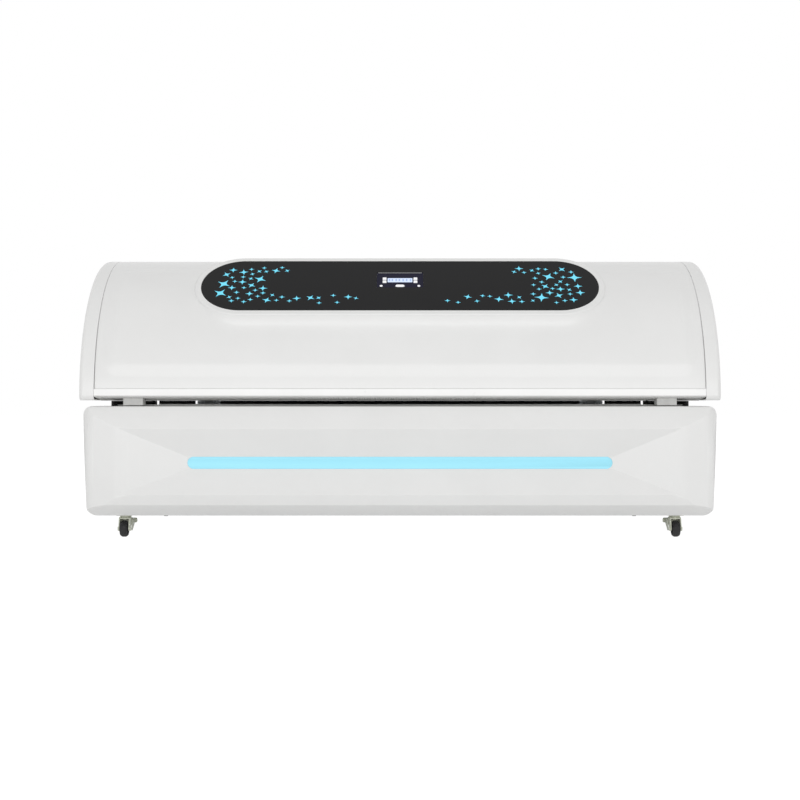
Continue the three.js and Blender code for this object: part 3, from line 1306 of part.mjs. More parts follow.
function makeFork() {
  const outside = forkInside + forkWall;
  const crown = prismZ(circle(0, 0, forkTopRadius, roundSteps), forkTopZ - forkTopThickness, forkTopZ);
  const bridge = box(-outside, outside, -casterTrail, forkTopRadius / 2,
    forkTopZ - forkTopThickness, forkTopZ);
  const legTail = pedalPivotY + pedalPivotRadius + pedalEyeWall;
  const leg = [
    [-forkTopRadius / 2 - casterTrail / 2, forkTopZ], [legTail, forkTopZ],
    [legTail, pedalPivotZ - pedalPivotRadius - pedalEyeWall],
    [-casterTrail + forkLegWidth / 2, wheelRadius],
    [-casterTrail + forkLegWidth / 3, wheelRadius - axleHeadRadius],
    [-casterTrail - forkLegWidth / 3, wheelRadius - axleHeadRadius],
    [-casterTrail - forkLegWidth / 2, wheelRadius],
  ];
  const pinHole = prismX(
    circle(pedalPivotY, pedalPivotZ, pedalPivotRadius + runGap, pinSteps), -outside, outside);
  const legs = [prismX(leg, -outside, -forkInside), prismX(leg, forkInside, outside)]
    .map((solid) => solid.subtract(pinHole));
  const axle = rod(axleRadius, -outside - axleHeadWidth, outside + axleHeadWidth, 'x', pinSteps);
  const heads = [
    rod(axleHeadRadius, -outside - axleHeadWidth, -outside, 'x', nutSides),
    rod(axleHeadRadius, outside, outside + axleHeadWidth, 'x', nutSides),
  ];
  const bore = rod(kingpinRadius + runGap, -casterTopZ, casterTopZ, 'z', pinSteps);
  const stem = joined([crown, bridge, ...legs]).subtract(bore);
  const spindle = joined([axle, ...heads]).translate([0, -casterTrail, wheelRadius]);
  return stem.add(spindle);
}

function makeWheel() {
  const half = wheelWidth / 2;
  const hubEnd = half + wheelHubProud;
  const bore = axleRadius + runGap;
  const web = half - wheelRound;
  const rimIn = wheelRadius - 2 * wheelRound;
  const shoulder = half - wheelRound * wheelShoulderShare;
  const rightHalf = [
    [wheelRadius, shoulder], [wheelRadius - wheelRound, half], [rimIn, half], [rimIn, web],
    [wheelHubRadius, web], [wheelHubRadius, hubEnd], [bore, hubEnd],
  ];
  const leftHalf = rightHalf.map(([r, x]) => [r, -x]).reverse();
  return turned([...leftHalf, ...rightHalf, leftHalf[0]], 'x', wheelSteps);
}

// Brake pedal, drawn about its own pin in the back of the fork: a saddle whose two cheeks pass
// outside the legs, with the tread and pad behind, and the cam that presses on the wheel.
function makePedal() {
  const eye = pedalPivotRadius + pedalEyeWall;
  const cheekIn = forkInside + forkWall + runGap;
  const cheekOut = cheekIn + pedalCheekWall;
  const padBottom = eye - pedalPadHeight;
  const cheek = [
    [-eye / 2, eye], [-eye, 0], [-pedalCheekFoot, -pedalCheekDrop], [0, -pedalCheekDrop],
    [pedalReach, padBottom], [pedalReach, eye],
  ];
  const cheeks = [prismX(cheek, -cheekOut, -cheekIn), prismX(cheek, cheekIn, cheekOut)];
  const tread = box(-cheekOut, cheekOut, pedalReach - pedalTread, pedalReach,
    eye - pedalThickness, eye);
  const pad = prismY(roundedRect(-pedalPadLength / 2, pedalPadLength / 2, padBottom, eye,
    pedalPadCorner, smallCornerSteps), pedalReach - pedalThickness, pedalReach);
  const cam = prismX([
    [-pedalPivotRadius, -pedalPivotRadius], [-pedalCamReach, -pedalCamDrop],
    [-pedalCamReach + pedalCamThickness, -pedalCamDrop], [pedalPivotRadius, -pedalPivotRadius / 2],
    [pedalPivotRadius, pedalPivotRadius], [-pedalPivotRadius, pedalPivotRadius],
  ], -forkInside + fitGap, forkInside - fitGap);
  const pin = rod(pedalPivotRadius, -cheekOut, cheekOut, 'x', pinSteps);
  return joined([cam, pin, tread, pad, ...cheeks]);
}

function makeCasters() {
  [['front', -1], ['rear', 1]].forEach(([end, wayY]) => sides.forEach(([name, side]) => {
    const post = new THREE.Group();
    post.position.set(side * casterX, wayY * casterY, 0);
    root.add(post);
    const swivel = new THREE.Group();
    swivel.rotation.z = wayY > 0 ? Math.PI : 0;
    post.add(swivel);
    const label = `${end}_${name}`;
    addPiece(`caster_plate_${label}`, makeCasterPlate(), casterPaint, post);
    addPiece(`caster_fork_${label}`, makeFork(), casterPaint, swivel);
    const wheel = addPiece(`caster_wheel_${label}`, makeWheel(), tyreBlack, swivel);
    wheel.position.set(0, -casterTrail, wheelRadius);
    if (wayY < 0) {
      const pedal = addPiece(`caster_brake_${label}`, makePedal(), casterPaint, swivel);
      pedal.position.set(0, pedalPivotY, pedalPivotZ);
    }
  }));
}

function makeBase() {
  const shell = makeBaseShell();
  addPiece('base_frame', makeBaseFrame(), steelPaint);
  addPiece('floor_pan', makeFloorPan(), steelPaint);
  addPiece('front_cover', makeFrontCover(shell), whiteShell);
  addPiece('rear_cover', makeRearCover(shell), whiteShell);
  sides.forEach(([name, side]) => addPiece(`${name}_cover`, makeEndCover(shell, side), whiteShell));
  addPiece('strip_diffuser', makeStrip(), lampBlue);
  addPiece('strip_light_board', makeStripBoard(), aluminium);
  const reach = wellHalfLength - fitGap;
  const sheet = sagBand(sheetRadius, sheetWall, sheetHalfWidth, sheetSteps);
  addPiece('bed_sheet', prismX(sheet, -reach, reach), clearSheet);
  addPiece('bed_front_rail', makeBedRail(-1), aluminium);
  addPiece('bed_rear_rail', makeBedRail(1), aluminium);
  const ledRadius = sheetRadius + sheetWall + bedLedDrop;
  const ledHalf = sheetHalfWidth - bedRailLedge - trayWall;
  const ledReach = reach - trayWall - fitGap;
  const board = sagBand(ledRadius, bedLedWall, ledHalf, bedLedFacets);
  addPiece('bed_led_board', prismX(board, -ledReach, ledReach), ledBoard);
  addPiece('bed_reflector_tray', makeTray(), aluminium);
  const supply = makeFinnedBox(supplyX, supplyLength, supplyDepth, supplyHeight);
  addPiece('power_supply', supply, aluminium);
  const control = makeFinnedBox(controlX, controlLength, controlDepth, controlHeight);
  addPiece('control_box', control, blackPlastic);
  addPiece('mains_inlet', makeInlet(), blackPlastic);
  const rocker = addPiece('mains_switch', makeSwitch(), blackPlastic);
  rocker.position.set(inletX + inletLength / 4, baseRearY + inletFlangeWall - switchPivotDepth, inletZ);
  rocker.rotation.x = THREE.MathUtils.degToRad(switchTiltDeg);
  sides.forEach(([name, side]) => {
    const fan = new THREE.Group();
    fan.position.set(side * fanX, baseRearY - shellWall - fitGap - fanDepth, fanZ);
    root.add(fan);
    addPiece(`fan_frame_${name}`, makeFanFrame(), blackPlastic, fan);
    addPiece(`fan_rotor_${name}`, makeFanRotor(), blackPlastic, fan);
  });
}

function makeMechanism() {
  sides.forEach(([name, side]) => {
    addPiece(`hinge_bracket_${name}`, makeHingeBracket(side), brightSteel);
    addPiece(`hinge_pin_${name}`, makeHingePin(side), brightSteel);
    const strut = new THREE.Group();
    strut.position.set(side * strutX, strutFootY, strutFootZ);
    strut.rotation.x = Math.atan2(strutHeadZ - strutFootZ, strutHeadY - strutFootY);
    root.add(strut);
    addPiece(`strut_cylinder_${name}`, makeStrutTube(), blackPlastic, strut);
    addPiece(`strut_rod_${name}`, makeStrutRod(), brightSteel, strut);
  });
}

makeLid();
makeBase();
makeMechanism();
makeCasters();

export default root;
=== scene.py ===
"""Looks of a closed clamshell light therapy bed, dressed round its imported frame."""

import logging
import math
import random
from contextlib import contextmanager
from dataclasses import dataclass, field
from enum import Enum
from typing import Callable, Iterator, Sequence

import bmesh
import bpy
from bpy.types import Material, MeshPolygon, Node, NodeSocket, NodeTree, Object
from mathutils import Matrix, Vector
from mathutils.kdtree import KDTree


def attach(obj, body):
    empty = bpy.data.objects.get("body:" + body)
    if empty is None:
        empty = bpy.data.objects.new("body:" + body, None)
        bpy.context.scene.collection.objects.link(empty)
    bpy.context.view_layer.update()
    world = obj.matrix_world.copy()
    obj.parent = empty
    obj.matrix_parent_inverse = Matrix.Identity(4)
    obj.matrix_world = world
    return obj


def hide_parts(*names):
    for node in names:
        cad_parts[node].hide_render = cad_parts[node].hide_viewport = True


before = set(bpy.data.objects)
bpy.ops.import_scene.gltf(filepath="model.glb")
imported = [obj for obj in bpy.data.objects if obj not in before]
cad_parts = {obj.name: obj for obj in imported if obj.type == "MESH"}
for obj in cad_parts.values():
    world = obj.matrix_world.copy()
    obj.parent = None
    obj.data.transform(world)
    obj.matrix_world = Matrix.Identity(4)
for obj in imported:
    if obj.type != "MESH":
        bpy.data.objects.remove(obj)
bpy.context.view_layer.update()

LOG = logging.getLogger("therapy_bed")
MM = 0.001
SIDES = {"left": -1, "right": 1}
Pair = tuple[float, float]
QUARTER_TURN = math.pi / 2

# Points closer than this count as one point, and edges shorter than this as none
NEAR = 0.01 * MM
HAIR = 0.001 * MM

# Cosines over which a direction counts as lying along an axis, or as facing it
ALONG_AXIS = 0.999
FACING = 0.9

# Edges that turn by more than these are rounded, or stay crisp when a piece is shaded
ROUNDED_ANGLE = math.radians(50)
CRISP_ANGLE = math.radians(40)
FACE_WEIGHT = 60

# Facets round both ends of a bar; with 4n + 2 there is none at the middle
BAR_SIDES = 98
KEY_SIDES = 34
GRILLE_SIDES = 18


class Pick(Enum):
    """What a selection in edit mode holds."""

    VERTS = "VERT"
    EDGES = "EDGE"
    FACES = "FACE"


class Cut(Enum):
    """How a tool solid meets the piece that it cuts."""

    AWAY = "DIFFERENCE"
    KEEP = "INTERSECT"
    JOIN = "UNION"


class Solver(Enum):
    """How a cut is worked out: exactly, or quickly between solids that are fully closed."""

    EXACT = "EXACT"
    CLOSED = "MANIFOLD"


def deselect_all() -> None:
    """Leaves no object selected, so that the next operator acts on its own piece alone."""
    bpy.ops.object.select_all(action="DESELECT")


def focus(piece: Object) -> None:
    """Makes a piece the only selected and active object.

    Args:
        piece: The object that the next operators act on.
    """
    deselect_all()
    piece.select_set(True)
    bpy.context.view_layer.objects.active = piece


def adopt(name: str) -> Object:
    """Names what an operator has just added and moves its place into its mesh.

    Args:
        name: The name of the piece and of its mesh.

    Returns:
        The new object, at the origin, unturned and unscaled.
    """
    piece = bpy.context.object
    piece.name = name
    piece.data.name = name
    focus(piece)
    bpy.ops.object.transform_apply(location=True, rotation=True, scale=True)
    return piece


@contextmanager
def editing(piece: Object, kind: Pick = Pick.VERTS) -> Iterator[bmesh.types.BMesh]:
    """Opens a piece in edit mode with nothing selected.

    Args:
        piece: The object to edit.
        kind: What is selected by the operators inside.

    Yields:
        The mesh in edit mode.
    """
    focus(piece)
    bpy.ops.object.mode_set(mode="EDIT")
    bpy.ops.mesh.select_mode(type=kind.value)
    bpy.ops.mesh.select_all(action="DESELECT")
    try:
        yield bmesh.from_edit_mesh(piece.data)
    finally:
        bpy.ops.object.mode_set(mode="OBJECT")


def select(piece: Object, kind: Pick, test: Callable[..., bool]) -> int:
    """Selects what passes a test, and nothing else, in edit mode.

    Args:
        piece: The object in edit mode.
        kind: Whether vertices, edges or faces are tested.
        test: Takes one bmesh element and says whether it is wanted.

    Returns:
        How many elements were selected.
    """
    bpy.ops.mesh.select_mode(type=kind.value)
    bpy.ops.mesh.select_all(action="DESELECT")
    mesh = bmesh.from_edit_mesh(piece.data)
    mesh.normal_update()
    rows = {Pick.VERTS: mesh.verts, Pick.EDGES: mesh.edges, Pick.FACES: mesh.faces}[kind]
    wanted = [item for item in rows if test(item)]
    for item in wanted:
        item.select_set(True)
    bmesh.update_edit_mesh(piece.data)
    return len(wanted)


def middle(edge: bmesh.types.BMEdge) -> Vector:
    """Midpoint of an edge."""
    return (edge.verts[0].co + edge.verts[1].co) / 2


def runs_along(edge: bmesh.types.BMEdge, axis: int) -> bool:
    """Whether an edge lies along the X, Y or Z axis, given as 0, 1 or 2."""
    way = (edge.verts[1].co - edge.verts[0].co).normalized()
    return abs(way[axis]) > ALONG_AXIS


def modify(piece: Object, kind: str, **settings: object) -> None:
    """Adds a modifier with its settings and applies it.

    Args:
        piece: The object that the modifier shapes.
        kind: Blender's name for the modifier type.
        settings: The modifier's properties.
    """
    focus(piece)
    modifier = piece.modifiers.new(kind.title(), kind)
    for key, value in settings.items():
        setattr(modifier, key, value)
    bpy.ops.object.modifier_apply(modifier=modifier.name)


def face_outwards() -> None:
    """Turns every face of the mesh in edit mode outwards."""
    bpy.ops.mesh.select_all(action="SELECT")
    bpy.ops.mesh.normals_make_consistent(inside=False)


def slice_off(point: Sequence[float], out: Sequence[float]) -> None:
    """Cuts away the mesh in edit mode from a point on outwards, and closes the cut."""
    bpy.ops.mesh.select_all(action="SELECT")
    bpy.ops.mesh.bisect(plane_co=point, plane_no=out, use_fill=True, clear_outer=True)


def cut(piece: Object, tool: Object, how: Cut = Cut.AWAY,
        solver: Solver = Solver.EXACT) -> None:
    """Cuts a piece with a closed tool solid and deletes the tool."""
    modify(piece, "BOOLEAN", operation=how.value, object=tool, solver=solver.value)
    bpy.data.objects.remove(tool, do_unlink=True)


def twin(piece: Object, name: str, place: Matrix | None = None) -> Object:
    """Copies a piece with a mesh of its own.

    Args:
        piece: The object to copy.
        name: The name of the copy.
        place: Where the copy's mesh goes, if not where the first lies.

    Returns:
        The copy.
    """
    copy = bpy.data.objects.new(name, piece.data.copy())
    copy.data.name = name
    bpy.context.scene.collection.objects.link(copy)
    if place is not None:
        copy.data.transform(place)
        if place.determinant() < 0:
            copy.data.flip_normals()
    return copy


def join(name: str, pieces: Sequence[Object]) -> Object:
    """Joins pieces into one object.

    Args:
        name: The name of the whole.
        pieces: The objects to join.

    Returns:
        The joined object.
    """
    deselect_all()
    for piece in pieces:
        piece.select_set(True)
    bpy.context.view_layer.objects.active = pieces[0]
    if len(pieces) > 1:
        bpy.ops.object.join()
    pieces[0].name = name
    pieces[0].data.name = name
    return pieces[0]


def soften(piece: Object, width: float, segments: int = 2) -> None:
    """Rounds the sharp edges of a finished piece and evens its shading.

    Args:
        piece: The object to finish.
        width: Width of the rounding in metres.
        segments: Facets across the rounding.
    """
    modify(piece, "BEVEL", width=width, segments=segments, limit_method="ANGLE",
           angle_limit=ROUNDED_ANGLE, use_clamp_overlap=True)
    shade(piece)


def shade(piece: Object) -> None:
    """Shades a piece smooth, with large faces ruling the normals.

    Args:
        piece: The object to shade.
    """
    focus(piece)
    bpy.ops.object.shade_smooth_by_angle(angle=CRISP_ANGLE)
    modify(piece, "WEIGHTED_NORMAL", keep_sharp=True, weight=FACE_WEIGHT)


def box_piece(name: str, low: Sequence[float], high: Sequence[float]) -> Object:
    """Adds a block between two corners.

    Args:
        name: The name of the block.
        low: Its lowest corner.
        high: Its highest corner.

    Returns:
        The block.
    """
    centre = [(a + b) / 2 for a, b in zip(low, high)]
    size = [b - a for a, b in zip(low, high)]
    bpy.ops.mesh.primitive_cube_add(size=1, location=centre, scale=size)
    return adopt(name)


def stadium_piece(name: str, length: float, height: float, depth: float,
                  sides: int = BAR_SIDES) -> Object:
    """Adds a bar with round ends, lying in the XY plane with its top at zero.

    Args:
        name: The name of the bar.
        length: Its length over the round ends, along X.
        height: Its height, along Y.
        depth: How far it reaches below zero.
        sides: Facets round both ends.

    Returns:
        The bar.
    """
    bpy.ops.mesh.primitive_cylinder_add(vertices=sides, radius=height / 2, depth=depth,
                                        location=(0, 0, -depth / 2))
    piece = adopt(name)
    shift = (length - height) / 2
    with editing(piece):
        for way in (-1, 1):
            select(piece, Pick.VERTS, lambda vert: vert.co.x * way > 0)
            bpy.ops.transform.translate(value=(way * shift, 0, 0))
    return piece


def spread(start: float, stop: float, step: float) -> list[float]:
    """Even stations from one value up to, but not including, another."""
    count = max(1, round(abs(stop - start) / step))
    return [start + (stop - start) * i / count for i in range(count)]


def smoothstep(value: float, low: float, high: float) -> float:
    """Eases from 0 at low to 1 at high."""
    share = min(max((value - low) / (high - low), 0.0), 1.0)
    return share * share * (3 - 2 * share)


def grow_ring(piece: Object, ring: list[Vector], target: list[Vector]) -> list[Vector]:
    """Extrudes the selected open loop of a mesh in edit mode and lays its copy on target.

    Args:
        piece: The object in edit mode, with the loop's edges selected.
        ring: Where the loop's vertices lie, in order.
        target: Where their copies go, in the same order.

    Returns:
        The places of the new loop as the mesh stores them.
    """
    bpy.ops.mesh.extrude_region_move()
    places = {tuple(old): index for index, old in enumerate(ring)}
    mesh = bmesh.from_edit_mesh(piece.data)
    grown = list(target)
    for vert in [vert for vert in mesh.verts if vert.select]:
        index = places[tuple(vert.co)]
        vert.co = target[index]
        grown[index] = vert.co.copy()
    bmesh.update_edit_mesh(piece.data)
    return grown


@dataclass(frozen=True)
class Notch:
    """A box-shaped opening with its own middle along the bed."""

    middle_x: float
    half_x: float
    low_y: float
    high_y: float
    low_z: float
    high_z: float

    def block(self, name: str, side: int = 1) -> Object:
        """The tool that cuts the opening on one side of the bed.

        Args:
            name: The name of the tool.
            side: -1 for the left side, 1 for the right.

        Returns:
            The tool.
        """
        middle_x = side * self.middle_x
        return box_piece(name, (middle_x - self.half_x, self.low_y, self.low_z),
                         (middle_x + self.half_x, self.high_y, self.high_z))


@dataclass
class FasciaPlane:
    """The sloping plane of the control fascia: X along the lid, Y up the slope, Z outwards."""

    centre_y: float = -290.15 * MM
    centre_z: float = 779.45 * MM
    tilt: float = math.radians(40.6)
    length: float = 1244 * MM
    height: float = 262.5 * MM
    thickness: float = 3 * MM
    fit: float = 0.3 * MM

    @property
    def straight(self) -> float:
        """Distance from the middle to where the round ends start."""
        return (self.length - self.height) / 2

    def matrix(self) -> Matrix:
        """Where the plane lies."""
        place = Matrix.Translation((0, self.centre_y, self.centre_z))
        return place @ Matrix.Rotation(self.tilt, 4, "X")

    def point(self, along: float, up: float, out: float) -> Vector:
        """A point given in the plane's own directions."""
        return self.matrix() @ Vector((along, up, out))

    def lay(self, piece: Object) -> Object:
        """Moves a piece's mesh from the XY plane onto the fascia plane."""
        piece.data.transform(self.matrix())
        return piece


@dataclass
class LidShell:
    """Main lid moulding: half an ellipse with a hem, an embossed panel and the raised boss."""

    plane: FasciaPlane
    half_length: float = 923 * MM
    half_depth: float = 450 * MM
    rise: float = 466 * MM
    spring_z: float = 420 * MM
    wall: float = 4 * MM
    rim_height: float = 13 * MM
    hem_height: float = 20 * MM
    hem_blend: float = 3 * MM
    panel_lift: float = 6 * MM
    panel_flank: float = 48 * MM
    panel_end_inset: float = 14 * MM
    panel_foot: float = 68 * MM
    panel_top_y: float = 182 * MM
    panel_corner: float = 60 * MM
    boss_border: float = 20 * MM
    boss_round: float = 6 * MM
    boss_flare: float = 0.65
    boss_reach: float = 735 * MM
    boss_low: float = 0.30
    boss_high: float = 1.46
    foot_blend: float = 26 * MM
    window_length: float = 140.6 * MM
    window_height: float = 74.6 * MM
    window_up: float = 28.25 * MM
    edge_round: float = 1.0 * MM
    flank_step: float = 4 * MM
    skirt_step: float = 8 * MM
    arch_step: float = 10 * MM
    panel_step: float = 14 * MM
    boss_step: float = 15 * MM
    rear_step: float = 18 * MM
    middle_step: float = 24 * MM
    deepest_drop: float = 90 * MM
    halvings: int = 30
    fillet_height: float = 22 * MM
    fillet_share: float = 0.75
    flank_shares: tuple[float, ...] = (0.66, 0.33, 0.0)
    skin_steps: int = 9
    fillet_steps: int = 6
    edge_steps: int = 5

    @property
    def mean_radius(self) -> float:
        """Radius that turns an angle of the ellipse into a length."""
        return (self.half_depth + self.rise) / 2

    def angle_at(self, height: float) -> float:
        """Angle of the ellipse at a height over the springing line."""
        return math.asin(height / self.rise)

    def on_ellipse(self, x: float, angle: float, inward: float) -> Vector:
        """A point under the ellipse's skin.

        Args:
            x: Place along the lid.
            angle: Angle on the ellipse, from the front foot to the rear.
            inward: How far the point lies under the ellipse.

        Returns:
            The point.
        """
        y = -self.half_depth * math.cos(angle)
        z = self.rise * math.sin(angle)
        normal = Vector((0, y / self.half_depth ** 2, z / self.rise ** 2)).normalized()
        return Vector((x, y, self.spring_z + z)) - normal * inward

    def panel_share(self, x: float, angle: float) -> float:
        """How far the raised panel stands out here, from 0 to 1.

        Args:
            x: Place along the lid.
            angle: Angle on the ellipse, from the front foot to the rear.

        Returns:
            The share of its full height.
        """
        if angle > math.pi / 2:
            return 0.0
        low = self.angle_at(self.panel_foot)
        high = math.acos(self.panel_top_y / self.half_depth)
        from_end = self.half_length - self.panel_end_inset - abs(x)
        from_edge = min(angle - low, high - angle) * self.mean_radius
        across = max(self.panel_corner - from_end, 0.0)
        up = max(self.panel_corner - from_edge, 0.0)
        return smoothstep(self.panel_corner - math.hypot(across, up), 0.0, self.panel_flank)

    def sink(self, x: float, angle: float) -> float:
        """How far the skin lies under the ellipse: nothing on the hem and on the panel.

        Args:
            x: Place along the lid.
            angle: Angle on the ellipse, from the front foot to the rear.

        Returns:
            The depth in metres.
        """
        height = self.rise * math.sin(angle)
        hem_top = self.rim_height + self.hem_height
        below_hem = smoothstep(height, hem_top, hem_top + self.hem_blend)
        return self.panel_lift * below_hem * (1 - self.panel_share(x, angle))

    def skin(self, x: float, angle: float) -> Vector:
        """The outer skin without the boss."""
        return self.on_ellipse(x, angle, self.sink(x, angle))

    def columns(self) -> list[float]:
        """Stations along the lid, close together on the panel's flanks.

        Returns:
            The stations, from the left end to the right.
        """
        flank_end = self.half_length - self.panel_end_inset
        flank_start = flank_end - self.panel_flank
        half = [
            *spread(self.half_length, flank_end, self.flank_step),
            *spread(flank_end, flank_start, self.flank_step),
            *spread(flank_start, self.boss_reach, self.panel_step),
            *spread(self.boss_reach, self.plane.straight, self.boss_step),
            *spread(self.plane.straight, 0.0, self.middle_step),
        ]
        return [-x for x in half] + [0.0] + half[::-1]

    def rows(self) -> list[float]:
        """Angles from the front rim over the top to the rear rim.

        Returns:
            The angles, close together on the panel's flank.
        """
        hem_top = self.rim_height + self.hem_height
        marks = [self.rim_height, hem_top - self.hem_blend, hem_top, hem_top + self.hem_blend / 2,
                 hem_top + self.hem_blend, hem_top + 2 * self.hem_blend]
        low = [self.angle_at(mark) for mark in marks]
        start = self.angle_at(self.panel_foot)
        radius = self.mean_radius
        flank_end = start + self.panel_flank / radius
        front = [
            *low, *spread(low[-1] + self.flank_step / radius, start, self.skirt_step / radius),
            *spread(start, flank_end, self.flank_step / radius),
            *spread(flank_end, self.boss_low, self.arch_step / radius),
            *spread(self.boss_low, self.boss_high, self.arch_step / radius),
        ]
        rear = spread(self.boss_high, math.pi - low[-1], self.rear_step / radius)
        return front + rear + [math.pi - angle for angle in reversed(low)]

    def grid(self) -> tuple[Object, list[Pair]]:
        """Lays a grid on the ellipse and opens it where the boss stands.

        Returns:
            The open skin, and the (x, angle) of the opening's edge in order.
        """
        columns, rows = self.columns(), self.rows()
        cells_x, cells_y = len(columns) - 1, len(rows) - 1
        bpy.ops.mesh.primitive_grid_add(x_subdivisions=cells_x, y_subdivisions=cells_y, size=2)
        piece = adopt("lid_shell_moulding")
        for vert in piece.data.vertices:
            column = columns[round((vert.co.x + 1) / 2 * cells_x)]
            row = rows[round((vert.co.y + 1) / 2 * cells_y)]
            vert.co = (column, row, 0.0)

        def in_boss(face: bmesh.types.BMFace) -> bool:
            """Whether a face of the flat grid lies where the boss will stand."""
            centre = face.calc_center_median()
            return abs(centre.x) < self.boss_reach and self.boss_low < centre.y < self.boss_high

        with editing(piece, Pick.FACES):
            select(piece, Pick.FACES, in_boss)
            bpy.ops.mesh.delete(type="FACE")
        xs = [x for x in columns if abs(x) <= self.boss_reach]
        angles = [a for a in rows if self.boss_low <= a <= self.boss_high]
        edge = [(x, angles[-1]) for x in xs]
        edge += [(xs[-1], a) for a in reversed(angles[:-1])]
        edge += [(x, angles[0]) for x in reversed(xs[:-1])]
        edge += [(xs[0], a) for a in angles[1:-1]]
        for vert in piece.data.vertices:
            vert.co = self.skin(vert.co.x, vert.co.y)
        return piece, edge

    def stations(self, edge: list[Pair]) -> list[tuple[Vector, Vector]]:
        """Pairs each point of the opening's edge with the boss outline and its outward way.

        Args:
            edge: The (x, angle) points round the opening, from its upper left corner.

        Returns:
            For each point, the outline point and its outward direction in the fascia plane.
        """
        radius = self.plane.height / 2 + self.boss_border
        straight = self.plane.straight
        found: list[tuple[Vector, Vector]] = []
        turn: dict[int, float] = {}
        for way in (1, -1):
            run = [i for i, (x, _) in enumerate(edge) if x * way > straight - NEAR]
            run.sort(key=lambda i: self.run_order(edge[i], way))
            lengths = [0.0]
            for a, b in zip(run, run[1:]):
                dx = edge[b][0] - edge[a][0]
                dy = (edge[b][1] - edge[a][1]) * self.mean_radius
                lengths.append(lengths[-1] + math.hypot(dx, dy))
            for i, length in zip(run, lengths):
                turn[i] = math.pi / 2 - math.pi * length / lengths[-1]
        for i, (x, angle) in enumerate(edge):
            way = 1 if x > 0 else -1
            if i in turn:
                out = Vector((way * math.cos(turn[i]), math.sin(turn[i]), 0))
                found.append((Vector((way * straight, 0, 0)) + out * radius, out))
            else:
                out = Vector((0, 1 if angle > (self.boss_low + self.boss_high) / 2 else -1, 0))
                found.append((Vector((x, 0, 0)) + out * radius, out))
        return found

    def run_order(self, point: Pair, way: int) -> tuple[int, float]:
        """Place of an edge point on the walk from the top over one end to the bottom.

        Args:
            point: Its x and angle.
            way: -1 for the left end, 1 for the right.

        Returns:
            The stretch of the walk, and the place on that stretch.
        """
        x, angle = point
        if abs(abs(x) - self.boss_reach) < NEAR:
            return 1, -angle
        if angle > (self.boss_low + self.boss_high) / 2:
            return 0, x * way
        return 2, -x * way

    def skin_level(self, point: Vector) -> float:
        """How far a point lies outside the skin, along the ellipse's radius.

        Args:
            point: The point.

        Returns:
            The distance in metres, under zero inside the skin.
        """
        across, up = -point.y / self.half_depth, (point.z - self.spring_z) / self.rise
        angle = math.atan2(up, across)
        share = math.hypot(across, up)
        return (share - 1) * self.mean_radius + self.sink(point.x, angle)

    def flank(self, rim: Vector, out: Vector, drop: float) -> Vector:
        """A point on the boss's flaring flank, at a drop under its rounded edge."""
        where = rim + out * (self.boss_flare * drop)
        return self.plane.point(where.x, where.y, -self.boss_round - drop)

    def flank_drop(self, rim: Vector, out: Vector) -> float:
        """Finds by halving how far the flank drops before it meets the skin.

        Args:
            rim: The point on the boss outline.
            out: Its outward direction in the fascia plane.

        Returns:
            The drop in metres.
        """
        low, high = 0.0, self.deepest_drop
        for _ in range(self.halvings):
            half = (low + high) / 2
            if self.skin_level(self.flank(rim, out, half)) > 0:
                low = half
            else:
                high = half
        return low

    def boss_column(self, x: float, angle: float, rim: Vector, out: Vector) -> list[Vector]:
        """Points from one place on the opening's edge up the boss and into its pocket.

        Args:
            x: Place along the lid.
            angle: Angle on the ellipse.
            rim: The point on the boss outline that belongs to this place.
            out: Its outward direction in the fascia plane.

        Returns:
            The points, from the skin to the window.
        """
        drop = self.flank_drop(rim, out)
        foot = self.flank(rim, out, drop)
        foot_angle = math.atan2((foot.z - self.spring_z) / self.rise, -foot.y / self.half_depth)
        blend_x = foot.x + out.x * self.foot_blend
        blend_angle = foot_angle + out.y * self.foot_blend / self.mean_radius
        start = self.skin(blend_x, blend_angle)
        upper_drop = drop - min(self.fillet_share * drop, self.fillet_height)
        upper = self.flank(rim, out, upper_drop)
        column = []
        for step in range(1, self.skin_steps):
            share = step / self.skin_steps
            column.append(self.skin(x + (blend_x - x) * share, angle + (blend_angle - angle) * share))
        for step in range(self.fillet_steps + 1):
            t = step / self.fillet_steps
            column.append(start * (1 - t) ** 2 + foot * (2 * t * (1 - t)) + upper * t * t)
        column += [self.flank(rim, out, upper_drop * share) for share in self.flank_shares]
        for step in range(1, self.edge_steps + 1):
            turn = QUARTER_TURN * step / self.edge_steps
            where = rim - out * (self.boss_round * (1 - math.cos(turn)))
            level = -self.boss_round * (1 - math.sin(turn))
            column.append(self.plane.point(where.x, where.y, level))
        return column + self.pocket(rim, out)

    def boss_rings(self, edge: list[Pair]) -> list[list[Vector]]:
        """Rings from the skin over the boss's foot, flank and rounded edge to the window.

        Args:
            edge: The (x, angle) points round the opening.

        Returns:
            Rings of points, each in the order of the edge.
        """
        columns = [self.boss_column(x, angle, rim, out)
                   for (x, angle), (rim, out) in zip(edge, self.stations(edge))]
        return [list(ring) for ring in zip(*columns)]

    def pocket(self, rim: Vector, out: Vector) -> list[Vector]:
        """Points from the boss's lip down into the pocket and over its floor to the window.

        Args:
            rim: The point on the boss outline.
            out: Its outward direction in the fascia plane.

        Returns:
            The points, from the lip inwards.
        """
        plane = self.plane
        seat = -plane.thickness - plane.fit
        lip = rim - out * (self.boss_border - plane.fit)
        share = max(-1.0, min(1.0, rim.x / plane.straight))
        side = Vector((share * self.window_length / 2, 0, 0))
        side.y = self.window_up + self.window_height / 2 * (
            out.y if abs(rim.x) > plane.straight else math.copysign(1, out.y))
        return [
            plane.point(lip.x, lip.y, 0), plane.point(lip.x, lip.y, seat),
            plane.point(side.x, side.y, seat),
        ]

